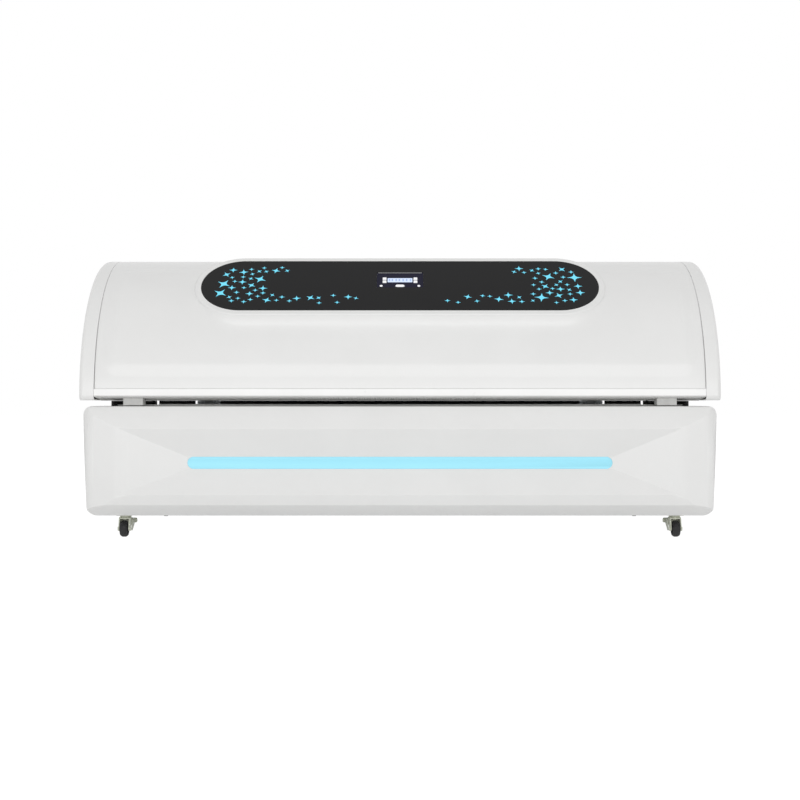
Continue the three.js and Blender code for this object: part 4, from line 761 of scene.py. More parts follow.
    def build(self) -> Object:
        """Builds the moulding with its wall.

        Returns:
            The finished shell.
        """
        piece, edge = self.grid()
        ring = [self.skin(x, angle) for x, angle in edge]
        with editing(piece, Pick.EDGES) as mesh:
            tree = KDTree(len(ring))
            for index, point in enumerate(ring):
                tree.insert(point, index)
            tree.balance()
            found = set()
            for vert in mesh.verts:
                _, index, distance = tree.find(vert.co)
                if distance < NEAR:
                    ring[index] = vert.co.copy()
                    found.add(vert)
            select(piece, Pick.EDGES, lambda item: item.is_boundary and found.issuperset(item.verts))
            for target in self.boss_rings(edge):
                ring = grow_ring(piece, ring, target)
            face_outwards()
        modify(piece, "SOLIDIFY", thickness=self.wall, offset=-1, use_even_offset=True)
        soften(piece, self.edge_round)
        return piece


@dataclass
class LidCap:
    """End cap of the lid: a rounded channel that follows the arch from foot to foot."""

    half_depth: float = 450 * MM
    rise_over_depth: float = 10 * MM
    spring_z: float = 420 * MM
    foot_z: float = 419 * MM
    inner_radius: float = 345 * MM
    start_x: float = 923.6 * MM
    end_x: float = 970 * MM
    sleeve_x: float = 868.3 * MM
    outer_round: float = 15 * MM
    inner_round: float = 5 * MM
    foot_round: float = 14 * MM
    wall: float = 3.6 * MM
    edge_round: float = 0.8 * MM
    steps: int = 120
    outer_steps: int = 8
    inner_steps: int = 4
    foot_reach: float = 1.05
    foot_shares: tuple[float, ...] = (0.8, 0.6, 0.42, 0.26, 0.12, 0.04, 0.0)

    def profile(self) -> list[Pair]:
        """The channel's outer skin as (x, radius) points, from the shell seam to the sleeve.

        Returns:
            The points.
        """
        outer, inner = self.half_depth, self.inner_radius
        points = [(self.start_x, outer)]
        for step in range(self.outer_steps + 1):
            turn = QUARTER_TURN * step / self.outer_steps
            points.append((self.end_x - self.outer_round * (1 - math.sin(turn)),
                           outer - self.outer_round * (1 - math.cos(turn))))
        points += [(self.end_x, (outer + inner) / 2)]
        for step in range(self.inner_steps + 1):
            turn = QUARTER_TURN * step / self.inner_steps
            points.append((self.end_x - self.inner_round * (1 - math.cos(turn)),
                           inner + self.inner_round * (1 - math.sin(turn))))
        return points + [(self.start_x, inner), (self.sleeve_x, inner)]

    def build(self, name: str, side: int) -> Object:
        """Spins the profile over the tunnel and closes both feet.

        Args:
            name: The name of the piece.
            side: -1 for the left end, 1 for the right.

        Returns:
            The finished cap.
        """
        points = self.profile()
        mesh = bpy.data.meshes.new(name)
        first = math.asin(self.foot_round / self.half_depth)
        ring = [(x, -r * math.cos(first), r * math.sin(first)) for x, r in points]
        mesh.from_pydata(ring, [(i, i + 1) for i in range(len(ring) - 1)], [])
        piece = bpy.data.objects.new(name, mesh)
        bpy.context.scene.collection.objects.link(piece)
        with editing(piece):
            bpy.ops.mesh.select_all(action="SELECT")
            bpy.ops.mesh.spin(steps=self.steps, angle=math.pi - 2 * first,
                              center=(0, 0, 0), axis=(1, 0, 0))
        for vert in piece.data.vertices:
            radius = math.hypot(vert.co.y, vert.co.z)
            vert.co.z += self.rise_over_depth * vert.co.z / radius + self.spring_z
        with editing(piece, Pick.EDGES):
            foot_line = self.spring_z + self.foot_round * self.foot_reach
            for way in (-1, 1):
                self.close_foot(piece, way, foot_line)
            face_outwards()
        modify(piece, "SOLIDIFY", thickness=self.wall, offset=-1, use_even_offset=True)
        if side < 0:
            piece.data.transform(Matrix.Scale(-1, 4, (1, 0, 0)))
            piece.data.flip_normals()
        soften(piece, self.edge_round)
        return piece

    def close_foot(self, piece: Object, way: int, foot_line: float) -> None:
        """Runs one end of the arch down over its rounded corner and closes it from below.

        Args:
            piece: The cap in edit mode.
            way: -1 for the front foot, 1 for the rear.
            foot_line: Height under which the open end lies.
        """
        select(piece, Pick.EDGES, lambda edge: all(
            vert.co.y * way > 0 and vert.co.z < foot_line for vert in edge.verts)
            and len(edge.link_faces) == 1 and not runs_along(edge, 2)
            and abs(edge.verts[0].co.z - edge.verts[1].co.z) < self.foot_round / 2)
        mesh = bmesh.from_edit_mesh(piece.data)
        start = [vert.co.copy() for vert in mesh.verts if vert.select]
        ring = start
        for share in self.foot_shares:
            pull = self.foot_round * (1 - math.sqrt(1 - (1 - share) ** 2))
            target = []
            for point in start:
                outside = abs(point.y) > (self.half_depth + self.inner_radius) / 2
                y = point.y - way * pull if outside else point.y
                target.append(Vector((point.x, y, self.foot_z + (point.z - self.foot_z) * share)))
            ring = grow_ring(piece, ring, target)
        select(piece, Pick.VERTS, lambda vert: vert.co.z < self.foot_z + HAIR
               and vert.co.y * way > 0 and vert.co.x > self.start_x - HAIR)
        bpy.ops.mesh.edge_face_add()


@dataclass
class BaseBody:
    """Moulded base covers: one body with a front valley, split into four covers."""

    top_z: float = 401.5 * MM
    foot_z: float = 68 * MM
    front_y: float = -448 * MM
    front_top_y: float = -425 * MM
    ridge_z: float = 332 * MM
    low_ridge_z: float = 133 * MM
    tuck_y: float = -440 * MM
    tuck_z: float = 102 * MM
    toe_y: float = -405 * MM
    rear_y: float = 435 * MM
    rear_toe_y: float = 415 * MM
    half_length: float = 968 * MM
    foot_half_length: float = 950 * MM
    facet_x: float = 845 * MM
    facet_turn: float = math.radians(9.4)
    valley_floor_half: float = 646 * MM
    valley_floor_y: float = -413 * MM
    valley_floor_height: float = 36 * MM
    strip_z: float = 229 * MM
    ridge_round: float = 8 * MM
    crease_round: float = 24 * MM
    brow_round: float = 14 * MM
    top_corner: float = 36 * MM
    foot_corner: float = 28 * MM
    front_corner: float = 50 * MM
    rear_corner: float = 35 * MM
    wall: float = 4 * MM
    well_half_length: float = 868 * MM
    well_half_width: float = 362 * MM
    well_floor_z: float = 343 * MM
    foot_hole_half_length: float = 885.3 * MM
    foot_hole_half_width: float = 388.3 * MM
    split_y: float = 340 * MM
    seam: float = 0.6 * MM
    over: float = 40 * MM
    fan_x: float = 450 * MM
    fan_z: float = 230 * MM
    grille_radius: float = 67 * MM
    grille_shortest: float = 27 * MM
    grille_pitch: float = 13 * MM
    grille_slot: float = 7 * MM
    seal_height: float = 16 * MM
    seal_width: float = 5 * MM
    seal_sink: float = 0.2 * MM
    seal_round: float = 1.5 * MM
    seal_x: float = 875 * MM
    seal_rear_y: float = 407 * MM
    side_seal_from: float = -414 * MM
    side_seal_to: float = 338 * MM
    corner_seal_x: float = 745 * MM
    rear_seal_half: float = 655 * MM
    hinge_notch: Notch = Notch(700 * MM, 42.9 * MM, 388 * MM, 445 * MM, 393.4 * MM, 430 * MM)
    strut_slot: Notch = Notch(895 * MM, 9.6 * MM, 345 * MM, 427 * MM, 395.7 * MM, 430 * MM)
    inlet_hole: Notch = Notch(760 * MM, 48.3 * MM, 405 * MM, 445 * MM, 142.7 * MM, 197.3 * MM)
    crease_gap: float = 5 * MM
    least_ridge: float = math.radians(6)
    wide_steps: int = 6
    ridge_steps: int = 4
    end_steps: int = 14
    plan_steps: int = 16

    def side_block(self) -> Object:
        """The side outline drawn out along the bed, with its facets, valley and soft ridges.

        Returns:
            The block.
        """
        reach = self.half_length + self.over
        piece = box_piece("base_block", (-reach, self.front_y, self.foot_z),
                          (reach, self.rear_y, self.top_z))
        with editing(piece):
            slice_off((0, self.toe_y, self.foot_z),
                      (0, -(self.tuck_z - self.foot_z), self.tuck_y - self.toe_y))
            slice_off((0, self.tuck_y, self.tuck_z),
                      (0, -(self.low_ridge_z - self.tuck_z), self.front_y - self.tuck_y))
            slice_off((0, self.front_top_y, self.top_z),
                      (0, -(self.top_z - self.ridge_z), self.front_top_y - self.front_y))
            slice_off((0, self.rear_toe_y, self.foot_z),
                      (0, self.tuck_z - self.foot_z, -(self.rear_y - self.rear_toe_y)))
            for way in (-1, 1):
                slice_off((way * self.facet_x, self.front_y, 0),
                          (way * math.sin(self.facet_turn), -math.cos(self.facet_turn), 0))
            self.press_valley(piece)
            self.round_ridges(piece)
        return piece

    def press_valley(self, piece: Object) -> None:
        """Pushes the flat front face back to the valley floor, in edit mode.

        Args:
            piece: The block.
        """
        select(piece, Pick.FACES, lambda face: abs(face.calc_center_median().y - self.front_y) < NEAR
               and face.normal.y < -ALONG_AXIS)
        bpy.ops.mesh.extrude_region_move()
        middle_z = (self.ridge_z + self.low_ridge_z) / 2
        bpy.ops.transform.resize(
            value=(self.valley_floor_half / self.facet_x, 1,
                   self.valley_floor_height / (self.ridge_z - self.low_ridge_z)),
            center_override=(0, self.front_y, middle_z))
        bpy.ops.transform.translate(value=(0, self.valley_floor_y - self.front_y,
                                           self.strip_z - middle_z))
        bpy.ops.mesh.select_all(action="SELECT")
        bpy.ops.mesh.remove_doubles(threshold=HAIR)
        bpy.ops.mesh.normals_make_consistent(inside=False)

    def round_ridges(self, piece: Object) -> None:
        """Rounds the facets' upright edges, the long top edge and then the ridges, in edit mode.

        Args:
            piece: The block.
        """
        end = self.half_length + self.over / 2
        inner_z = (self.low_ridge_z + self.crease_gap, self.ridge_z - self.crease_gap)

        def crease(edge: bmesh.types.BMEdge) -> bool:
            """Whether this is an upright edge between the front and an end facet."""
            return (runs_along(edge, 2) and abs(abs(middle(edge).x) - self.facet_x) < MM
                    and inner_z[0] < middle(edge).z < inner_z[1])

        def brow(edge: bmesh.types.BMEdge) -> bool:
            """Whether this is the long top edge of the front."""
            return (abs(middle(edge).z - self.top_z) < MM and middle(edge).y < self.front_top_y / 2
                    and abs(middle(edge).x) < end)

        def ridge(edge: bmesh.types.BMEdge) -> bool:
            """Whether this is any other edge that turns enough to be seen."""
            if len(edge.link_faces) != 2 or abs(middle(edge).x) > end:
                return False
            under_brow = middle(edge).y > 0 or middle(edge).z < self.top_z - 2 * self.brow_round
            return under_brow and edge.calc_face_angle(0.0) > self.least_ridge

        for test, width, steps in ((crease, self.crease_round, self.wide_steps),
                                   (brow, self.brow_round, self.wide_steps),
                                   (ridge, self.ridge_round, self.ridge_steps)):
            select(piece, Pick.EDGES, test)
            bpy.ops.mesh.bevel(offset=width, segments=steps, profile=0.5, affect="EDGES",
                               clamp_overlap=True, loop_slide=True)

    def end_block(self) -> Object:
        """The end outline drawn out across the bed: leaning ends with rounded top and foot.

        Returns:
            The block.
        """
        low, high = self.foot_z, self.top_z
        piece = box_piece("end_block", (-self.half_length, -self.half_length, low),
                          (self.half_length, self.half_length, high))
        lean = self.half_length - self.foot_half_length
        with editing(piece):
            for way in (-1, 1):
                slice_off((way * self.half_length, 0, high), (way * (high - low), 0, -lean))
            for z, width in ((high, self.top_corner), (low, self.foot_corner)):
                select(piece, Pick.EDGES, lambda edge: runs_along(edge, 1)
                       and abs(middle(edge).z - z) < MM)
                bpy.ops.mesh.bevel(offset=width, segments=self.end_steps, affect="EDGES")
        return piece

    def plan_block(self) -> Object:
        """The plan outline drawn upwards: the front facets and four rounded corners.

        Returns:
            The block.
        """
        piece = box_piece("plan_block", (-self.half_length, self.front_y - self.over, 0),
                          (self.half_length, self.rear_y, self.top_z + self.over))
        with editing(piece):
            for way in (-1, 1):
                slice_off((way * self.facet_x, self.front_y, 0),
                          (way * math.sin(self.facet_turn), -math.cos(self.facet_turn), 0))
            turn = math.tan((math.pi / 2 - self.facet_turn) / 2)
            for front, width in ((True, self.front_corner * turn), (False, self.rear_corner)):
                select(piece, Pick.EDGES, lambda edge: runs_along(edge, 2)
                       and abs(middle(edge).x) > self.half_length - MM
                       and (middle(edge).y < 0) == front)
                bpy.ops.mesh.bevel(offset=width, segments=self.plan_steps, affect="EDGES")
        return piece

    def shell(self) -> Object:
        """The whole base skin with its wall, open at the well and under the frame.

        Returns:
            The skin.
        """
        piece = self.side_block()
        cut(piece, self.end_block(), Cut.KEEP)
        cut(piece, self.plan_block(), Cut.KEEP)
        modify(piece, "SOLIDIFY", thickness=self.wall, offset=-1, use_even_offset=True)
        cut(piece, box_piece("well", (-self.well_half_length, -self.well_half_width, self.well_floor_z),
                             (self.well_half_length, self.well_half_width, self.top_z + self.over)))
        cut(piece, box_piece(
            "foot_hole", (-self.foot_hole_half_length, -self.foot_hole_half_width, 0),
            (self.foot_hole_half_length, self.foot_hole_half_width, self.foot_z + self.wall * 2)))
        return piece

    def region(self, name: str) -> tuple[tuple[float, ...], tuple[float, ...]]:
        """Lowest and highest corner of the space that one cover fills.

        Args:
            name: Which cover: front, rear, left or right.

        Returns:
            Both corners.
        """
        far, end = self.half_length + self.over, self.split_y - self.seam
        top = self.top_z + self.over
        return {
            "front": ((-far, -far, 0), (far, -self.split_y, top)),
            "rear": ((-far, self.split_y, 0), (far, far, top)),
            "left": ((-far, -end, 0), (-self.well_half_length, end, top)),
            "right": ((self.well_half_length, -end, 0), (far, end, top)),
        }[name]

    def openings(self) -> list[Object]:
        """Everything that is cut out of the rear: grilles, hinge notches, strut slots, inlet.

        Returns:
            The tools.
        """
        low_y, high_y = self.rear_y - 2 * self.wall, self.rear_y + self.wall
        upright = Matrix.Rotation(QUARTER_TURN, 4, "X")
        tools = []
        count = int(self.grille_radius / self.grille_pitch)
        for side in SIDES.values():
            for row in range(-count, count + 1):
                up = row * self.grille_pitch
                half = math.sqrt(max(self.grille_radius ** 2 - up ** 2, self.grille_shortest ** 2))
                slot = stadium_piece("grille_slot", 2 * half, self.grille_slot, high_y - low_y,
                                     GRILLE_SIDES)
                middle_point = (side * self.fan_x, low_y, self.fan_z + up)
                slot.data.transform(Matrix.Translation(middle_point) @ upright)
                tools.append(slot)
            tools.append(self.hinge_notch.block("hinge_notch", side))
            tools.append(self.strut_slot.block("strut_slot", side))
        tools.append(self.inlet_hole.block("inlet_hole"))
        return tools

    def gap_shade_seal(self) -> Object:
        """Black seal along both ends and the rear, open at the hinges: a dark piece put in the gap between
        lid and base as painted shade.

        Returns:
            The seal.
        """
        low, high = self.top_z - self.seal_sink, self.top_z + self.seal_height
        half = self.seal_width / 2
        front, back = self.seal_rear_y - half, self.seal_rear_y + half
        parts = []
        for side in SIDES.values():
            end = side * self.seal_x
            parts.append(box_piece("side_seal", (end - half, self.side_seal_from, low),
                                   (end + half, self.side_seal_to, high)))
            inner, outer = sorted((side * self.corner_seal_x, side * (self.seal_x + half)))
            parts.append(box_piece("corner_seal", (inner, front, low), (outer, back, high)))
        parts.append(box_piece("rear_seal", (-self.rear_seal_half, front, low),
                               (self.rear_seal_half, back, high)))
        piece = join("gap_shade_seal", parts)
        soften(piece, self.seal_round, segments=3)
        return piece

    def covers(self) -> dict[str, Object]:
        """Splits the skin into its four covers.

        Returns:
            The covers by name.
        """
        whole = self.shell()
        made = {}
        for name in ("front", "rear", "left", "right"):
            piece = twin(whole, f"{name}_cover_moulding")
            cut(piece, box_piece("region", *self.region(name)), Cut.KEEP)
            if name == "rear":
                cut(piece, join("rear_openings", self.openings()), solver=Solver.CLOSED)
            made[name] = piece
        bpy.data.objects.remove(whole, do_unlink=True)
        return made


@dataclass
class StarScatter:
    """Seeded scatter of plain four-point stars over both ends of the fascia."""

    seed: int = 23
    sizes: tuple[float, ...] = (43 * MM, 28 * MM, 18 * MM)
    cluster_counts: tuple[int, ...] = (3, 8, 17)
    trail_counts: tuple[int, ...] = (0, 4, 9)
    top_counts: tuple[int, ...] = (0, 1, 4)
    margin: float = 36 * MM
    gap: float = 7.5 * MM
    proud: float = 0.25 * MM
    depth: float = 0.6 * MM
    tip_power: float = 0.52
    points: int = 24
    crowding: float = 0.36
    most_tries: int = 4000
    size_range: Pair = (0.92, 1.08)
    most_turn: float = 0.7
    cluster_width: float = 0.82
    trail_bias: float = 1.4
    trail_start: float = 0.86
    trail_run: float = 0.6
    trail_edge: float = 0.45
    trail_narrowing: float = 0.15
    top_along: Pair = (0.72, 0.98)
    top_up: Pair = (0.72, 1.0)

    def pattern_star(self) -> Object:
        """One star of unit size: a disc whose rim is drawn in between four tips.

        Returns:
            The star.
        """
        bpy.ops.mesh.primitive_circle_add(vertices=self.points, radius=0.5, fill_type="NGON")
        star = adopt("star_pattern")
        for vert in star.data.vertices:
            turn = math.atan2(vert.co.y, vert.co.x)
            across, up = abs(math.cos(turn)), abs(math.sin(turn))
            reach = 0.5 * (across ** self.tip_power + up ** self.tip_power) ** (-1 / self.tip_power)
            vert.co.x, vert.co.y = reach * math.cos(turn), reach * math.sin(turn)
        return star

    def free(self, x: float, y: float, size: float, placed: list[tuple[float, ...]]) -> bool:
        """Whether a star here keeps its distance from those already placed."""
        return all(math.hypot(x - a, y - b) > (size + other) * self.crowding + self.gap
                   for a, b, other in placed)

    def spots(self, plane: FasciaPlane) -> list[tuple[float, float, float, float]]:
        """Draws the places of all stars.

        Args:
            plane: The fascia that they lie on.

        Returns:
            For each star its x, y, size and turn.
        """
        draw = random.Random(self.seed)
        radius, straight = plane.height / 2 - self.margin, plane.straight
        found: list[tuple[float, float, float, float]] = []
        zones = ((self.cluster_counts, self.in_cluster), (self.trail_counts, self.in_trail),
                 (self.top_counts, self.in_top))
        for way in (-1, 1):
            placed: list[tuple[float, ...]] = []
            for counts, place in zones:
                for size, count in zip(self.sizes, counts):
                    tries = 0
                    while count > 0 and tries < self.most_tries:
                        tries += 1
                        x, y = place(draw, straight, radius)
                        real = size * draw.uniform(*self.size_range)
                        turn = draw.choice((0.0, draw.uniform(-self.most_turn, self.most_turn)))
                        if self.free(x, y, real, placed):
                            placed.append((x, y, real))
                            found.append((way * x, y, real, turn))
                            count -= 1
        return found

    def in_cluster(self, draw: random.Random, straight: float, radius: float) -> Pair:
        """A place in the dense patch round the middle of one round end.

        Args:
            draw: Where the random numbers come from.
            straight: Distance from the middle to the round end.
            radius: Greatest distance from the middle line.

        Returns:
            Its x and y on the fascia.
        """
        turn, reach = draw.uniform(0, 2 * math.pi), math.sqrt(draw.random())
        across = self.cluster_width * radius * reach * math.cos(turn)
        return straight + across, radius * reach * math.sin(turn)

    def in_trail(self, draw: random.Random, straight: float, radius: float) -> Pair:
        """A place in the trail that thins out along the lower edge towards the middle."""
        run = draw.random() ** self.trail_bias
        return (straight * (self.trail_start - self.trail_run * run),
                -radius * draw.uniform(self.trail_edge + self.trail_narrowing * run, 1.0))

    def in_top(self, draw: random.Random, straight: float, radius: float) -> Pair:
        """A place along the upper edge, next to the round end."""
        return draw.uniform(*self.top_along) * straight, draw.uniform(*self.top_up) * radius

    def build(self, plane: FasciaPlane) -> Object:
        """Places every star on the fascia as one piece.

        Args:
            plane: The fascia that they lie on.

        Returns:
            The stars.
        """
        star = self.pattern_star()
        copies = []
        for index, (x, y, size, turn) in enumerate(self.spots(plane)):
            place = Matrix.Translation((x, y, self.proud)) @ Matrix.Rotation(turn, 4, "Z")
            copies.append(twin(star, f"star_{index}", place @ Matrix.Scale(size, 4)))
        bpy.data.objects.remove(star, do_unlink=True)
        piece = join("fascia_stars", copies)
        with editing(piece, Pick.FACES):
            bpy.ops.mesh.select_all(action="SELECT")
            bpy.ops.mesh.extrude_region_move(
                TRANSFORM_OT_translate={"value": (0, 0, -self.depth)})
            face_outwards()
        return plane.lay(piece)


@dataclass
class ControlFascia:
    """Black fascia with its stars, and the display and key module in its window."""

    plane: FasciaPlane
    stars: StarScatter = field(default_factory=StarScatter)
    module_length: float = 145 * MM
    module_height: float = 79 * MM
    module_up: float = 28.25 * MM
    module_sink: float = 1 * MM
    body_depth: float = 26 * MM
    ledge: float = 2.5 * MM
    screen_length: float = 78 * MM
    screen_height: float = 21 * MM
    screen_proud: float = 0.5 * MM
    start_length: float = 28.5 * MM
    start_height: float = 12 * MM
    start_drop: float = 30 * MM
    arrow_size: float = 12 * MM
    arrow_x: float = 48.5 * MM
    arrow_up: float = 8 * MM
    lamp_radius: float = 4.7 * MM
    lamp_x: float = 59 * MM
    key_hole_depth: float = 6 * MM
    fit: float = 0.3 * MM
    plate_round: float = 0.5 * MM
    body_gap: float = 0.5 * MM
    glass_border: float = 4 * MM
    glass_sink: float = 0.6 * MM
    bezel_round: float = 0.4 * MM
    tool_top: float = 5 * MM
    screen_depth: float = 2.2 * MM
    bar_places: tuple[float, ...] = tuple(place * MM for place in (-33, -24, -12, -2, 10, 21, 33))
    bar_half_width: float = 2.4 * MM
    bar_half_share: float = 0.27
    bar_depth: float = 1.5 * MM
    bar_proud: float = 0.1 * MM
    # A grey bar laid along the top of the module as a painted highlight
    lip_inset: float = 3 * MM
    lip_height: float = 2.6 * MM
    lip_depth: float = 3 * MM
    lip_proud: float = 0.4 * MM
    lip_round: float = 0.3 * MM
    lamp_sides: int = 32
    lamp_depth: float = 2.2 * MM
    lamp_sink: float = 1.6 * MM
    lamp_round: float = 0.9 * MM

    def plate(self) -> Object:
        """The fascia plate with its window.

        Returns:
            The plate.
        """
        piece = stadium_piece("control_fascia_plate", self.plane.length, self.plane.height,
                              self.plane.thickness)
        half_x, half_y = self.module_length / 2 + self.fit, self.module_height / 2 + self.fit
        deep = self.plane.thickness * 2
        cut(piece, box_piece("window", (-half_x, self.module_up - half_y, -deep),
                             (half_x, self.module_up + half_y, deep)))
        soften(piece, self.plate_round)
        return self.plane.lay(piece)

    def bezel(self) -> Object:
        """The module's bezel and body, with holes for its five keys.

        Returns:
            The bezel.
        """
        half_x, half_y = self.module_length / 2, self.module_height / 2
        top = -self.module_sink
        piece = box_piece("display_bezel", (-half_x, -half_y, -self.plane.thickness),
                          (half_x, half_y, top))
        body = box_piece("body", (-half_x + self.ledge, -half_y + self.ledge,
                                  -self.plane.thickness - self.body_depth),
                         (half_x - self.ledge, half_y - self.ledge, top - self.body_gap))
        cut(piece, body, Cut.JOIN)
        bed_x, bed_y = half_x - self.glass_border, half_y - self.glass_border
        cut(piece, box_piece("glass_bed", (-bed_x, -bed_y, top - self.glass_sink),
                             (bed_x, bed_y, self.tool_top)))
        for x, y in self.arrow_spots():
            half = self.arrow_size / 2 + self.fit
            cut(piece, box_piece("key_hole", (x - half, y - half, top - self.key_hole_depth),
                                 (x + half, y + half, self.tool_top)))
        hole = stadium_piece("start_hole", self.start_length + 2 * self.fit,
                             self.start_height + 2 * self.fit,
                             self.key_hole_depth + 2 * self.module_sink, KEY_SIDES)
        hole.data.transform(Matrix.Translation((0, -self.start_drop, 0)))
        cut(piece, hole)
        soften(piece, self.bezel_round)
        piece.data.transform(Matrix.Translation((0, self.module_up, 0)))
        return self.plane.lay(piece)

    def arrow_spots(self) -> list[Pair]:
        """Middles of the four arrow keys about the module's centre."""
        return [(way * self.arrow_x, up * self.arrow_up) for way in (-1, 1) for up in (-1, 1)]

    def screen(self) -> Object:
        """The lit display glass.

        Returns:
            The glass.
        """
        half_x, half_y = self.screen_length / 2, self.screen_height / 2
        piece = box_piece("display_glass", (-half_x, self.module_up - half_y, -self.screen_depth),
                          (half_x, self.module_up + half_y, self.screen_proud - self.module_sink))
        soften(piece, self.plate_round, segments=3)
        return self.plane.lay(piece)

    def segments(self) -> Object:
        """Plain dim bars on the face of the display.

        Returns:
            The bars as one piece.
        """
        half_y = self.screen_height * self.bar_half_share
        face = self.screen_proud - self.module_sink + self.bar_proud
        bars = [box_piece("bar", (x - self.bar_half_width, self.module_up - half_y, -self.bar_depth),
                          (x + self.bar_half_width, self.module_up + half_y, face))
                for x in self.bar_places]
        return self.plane.lay(join("display_segments", bars))

    def lip(self) -> Object:
        """The grey bar along the top of the module, a painted highlight on the window's upper edge.

        Returns:
            The lip.
        """
        top, half_x = self.module_up + self.module_height / 2, self.module_length / 2 - self.lip_inset
        piece = box_piece("display_lip_painted_highlight", (-half_x, top - self.lip_height, -self.lip_depth),
                          (half_x, top, self.lip_proud))
        soften(piece, self.lip_round)
        return self.plane.lay(piece)

    def lamp(self, name: str, side: int) -> Object:
        """One round indicator lamp with a domed face.

        Args:
            name: The name of the lamp.
            side: -1 for the left lamp, 1 for the right.

        Returns:
            The lamp.
        """
        bpy.ops.mesh.primitive_cylinder_add(
            vertices=self.lamp_sides, radius=self.lamp_radius, depth=self.lamp_depth,
            location=(side * self.lamp_x, self.module_up - self.start_drop, -self.lamp_sink))
        piece = adopt(name)
        soften(piece, self.lamp_round, segments=4)
        return self.plane.lay(piece)


@dataclass
class RimRail:
    """Perforated aluminium rail under the lid's long edge."""

    outer_y: float = 449 * MM
    inner_y: float = 345 * MM
    outer_z: float = 429.9 * MM
    inner_z: float = 418.2 * MM
    reach: float = 922.7 * MM
    thickness: float = 2.8 * MM
    flange_y: float = 349.3 * MM
    flange_wall: float = 2.5 * MM
    flange_height: float = 20 * MM
    pitch: float = 8 * MM
    hole_share: float = 0.42
    border: float = 8 * MM
    flange_round: float = 0.6 * MM

    def height(self, y: float) -> float:
        """Height of the rail's underside at a distance from the middle."""
        share = (y - self.inner_y) / (self.outer_y - self.inner_y)
        return self.inner_z + (self.outer_z - self.inner_z) * share

    def build(self, name: str, way: int) -> Object:
        """Builds the perforated plate and its upright flange.

        Args:
            name: The name of the piece.
            way: -1 for the front rail, 1 for the rear.

        Returns:
            The rail.
        """
        rows = round((self.outer_y - self.inner_y - 2 * self.border) / self.pitch)
        columns = round(2 * (self.reach - self.border) / self.pitch)
        bpy.ops.mesh.primitive_grid_add(x_subdivisions=columns, y_subdivisions=rows, size=2)
        plate = adopt(name)
        half_x = self.reach - self.border
        low, high = self.inner_y + self.border, self.outer_y - self.border
        for vert in plate.data.vertices:
            vert.co.x *= half_x
            vert.co.y = (low + high) / 2 + vert.co.y * (high - low) / 2
        with editing(plate, Pick.FACES):
            bpy.ops.mesh.select_all(action="SELECT")
            bpy.ops.mesh.inset(thickness=self.pitch * (1 - self.hole_share) / 2,
                               use_individual=True)
            bpy.ops.mesh.delete(type="FACE")
            select(plate, Pick.EDGES, lambda edge: edge.is_boundary and (
                abs(abs(middle(edge).x) - half_x) < MM / 10
                or abs(middle(edge).y - low) < MM / 10 or abs(middle(edge).y - high) < MM / 10))
            bpy.ops.mesh.extrude_region_move()
            bpy.ops.transform.resize(
                value=(self.reach / half_x, (self.outer_y - self.inner_y) / (high - low), 1),
                center_override=(0, (low + high) / 2, 0))
        for vert in plate.data.vertices:
            vert.co.z = self.height(vert.co.y)
            vert.co.y *= way
        with editing(plate, Pick.FACES):
            face_outwards()
        if plate.data.polygons[0].normal.z < 0:
            plate.data.flip_normals()
        modify(plate, "SOLIDIFY", thickness=self.thickness, offset=1)
        flange_low = self.height(self.flange_y) + self.thickness
        ys = sorted((way * self.flange_y, way * (self.flange_y + self.flange_wall)))
        flange = box_piece("flange", (-self.reach, ys[0], flange_low),
                           (self.reach, ys[1], flange_low + self.flange_height))
        modify(flange, "BEVEL", width=self.flange_round, segments=2)
        return join(name, [plate, flange])


@dataclass
class LightStrip:
    """Long light strip in the valley floor of the front cover."""

    length: float = 1291 * MM
    height: float = 35.4 * MM
    thickness: float = 5 * MM
    flange: float = 6 * MM
    flange_wall: float = 3 * MM
    centre_z: float = 229 * MM
    face_y: float = -410 * MM
    fit: float = 0.8 * MM
    over: float = 20 * MM
    lens_round: float = 0.9 * MM

    def upright(self) -> Matrix:
        """Turns a bar from the XY plane so that its top faces the front."""
        place = Matrix.Translation((0, self.face_y, self.centre_z))
        return place @ Matrix.Rotation(QUARTER_TURN, 4, "X")

    def slot(self) -> Object:
        """The hole in the front cover that the lens fills.

        Returns:
            The tool that cuts it.
        """
        tool = stadium_piece("strip_slot", self.length + 2 * self.fit, self.height + 2 * self.fit,
                             2 * self.over)
        tool.data.transform(self.upright() @ Matrix.Translation((0, 0, self.over)))
        return tool

    def lens(self) -> Object:
        """The diffusing lens with its flange behind the cover.

        Returns:
            The lens.
        """
        piece = stadium_piece("strip_lens", self.length, self.height,
                              self.thickness + self.flange_wall)
        rim = stadium_piece("flange", self.length + 2 * self.flange,
                            self.height + 2 * self.flange, self.flange_wall)
        rim.data.transform(Matrix.Translation((0, 0, -self.thickness)))
        cut(piece, rim, Cut.JOIN)
        soften(piece, self.lens_round, segments=3)
        piece.data.transform(self.upright())
        return piece


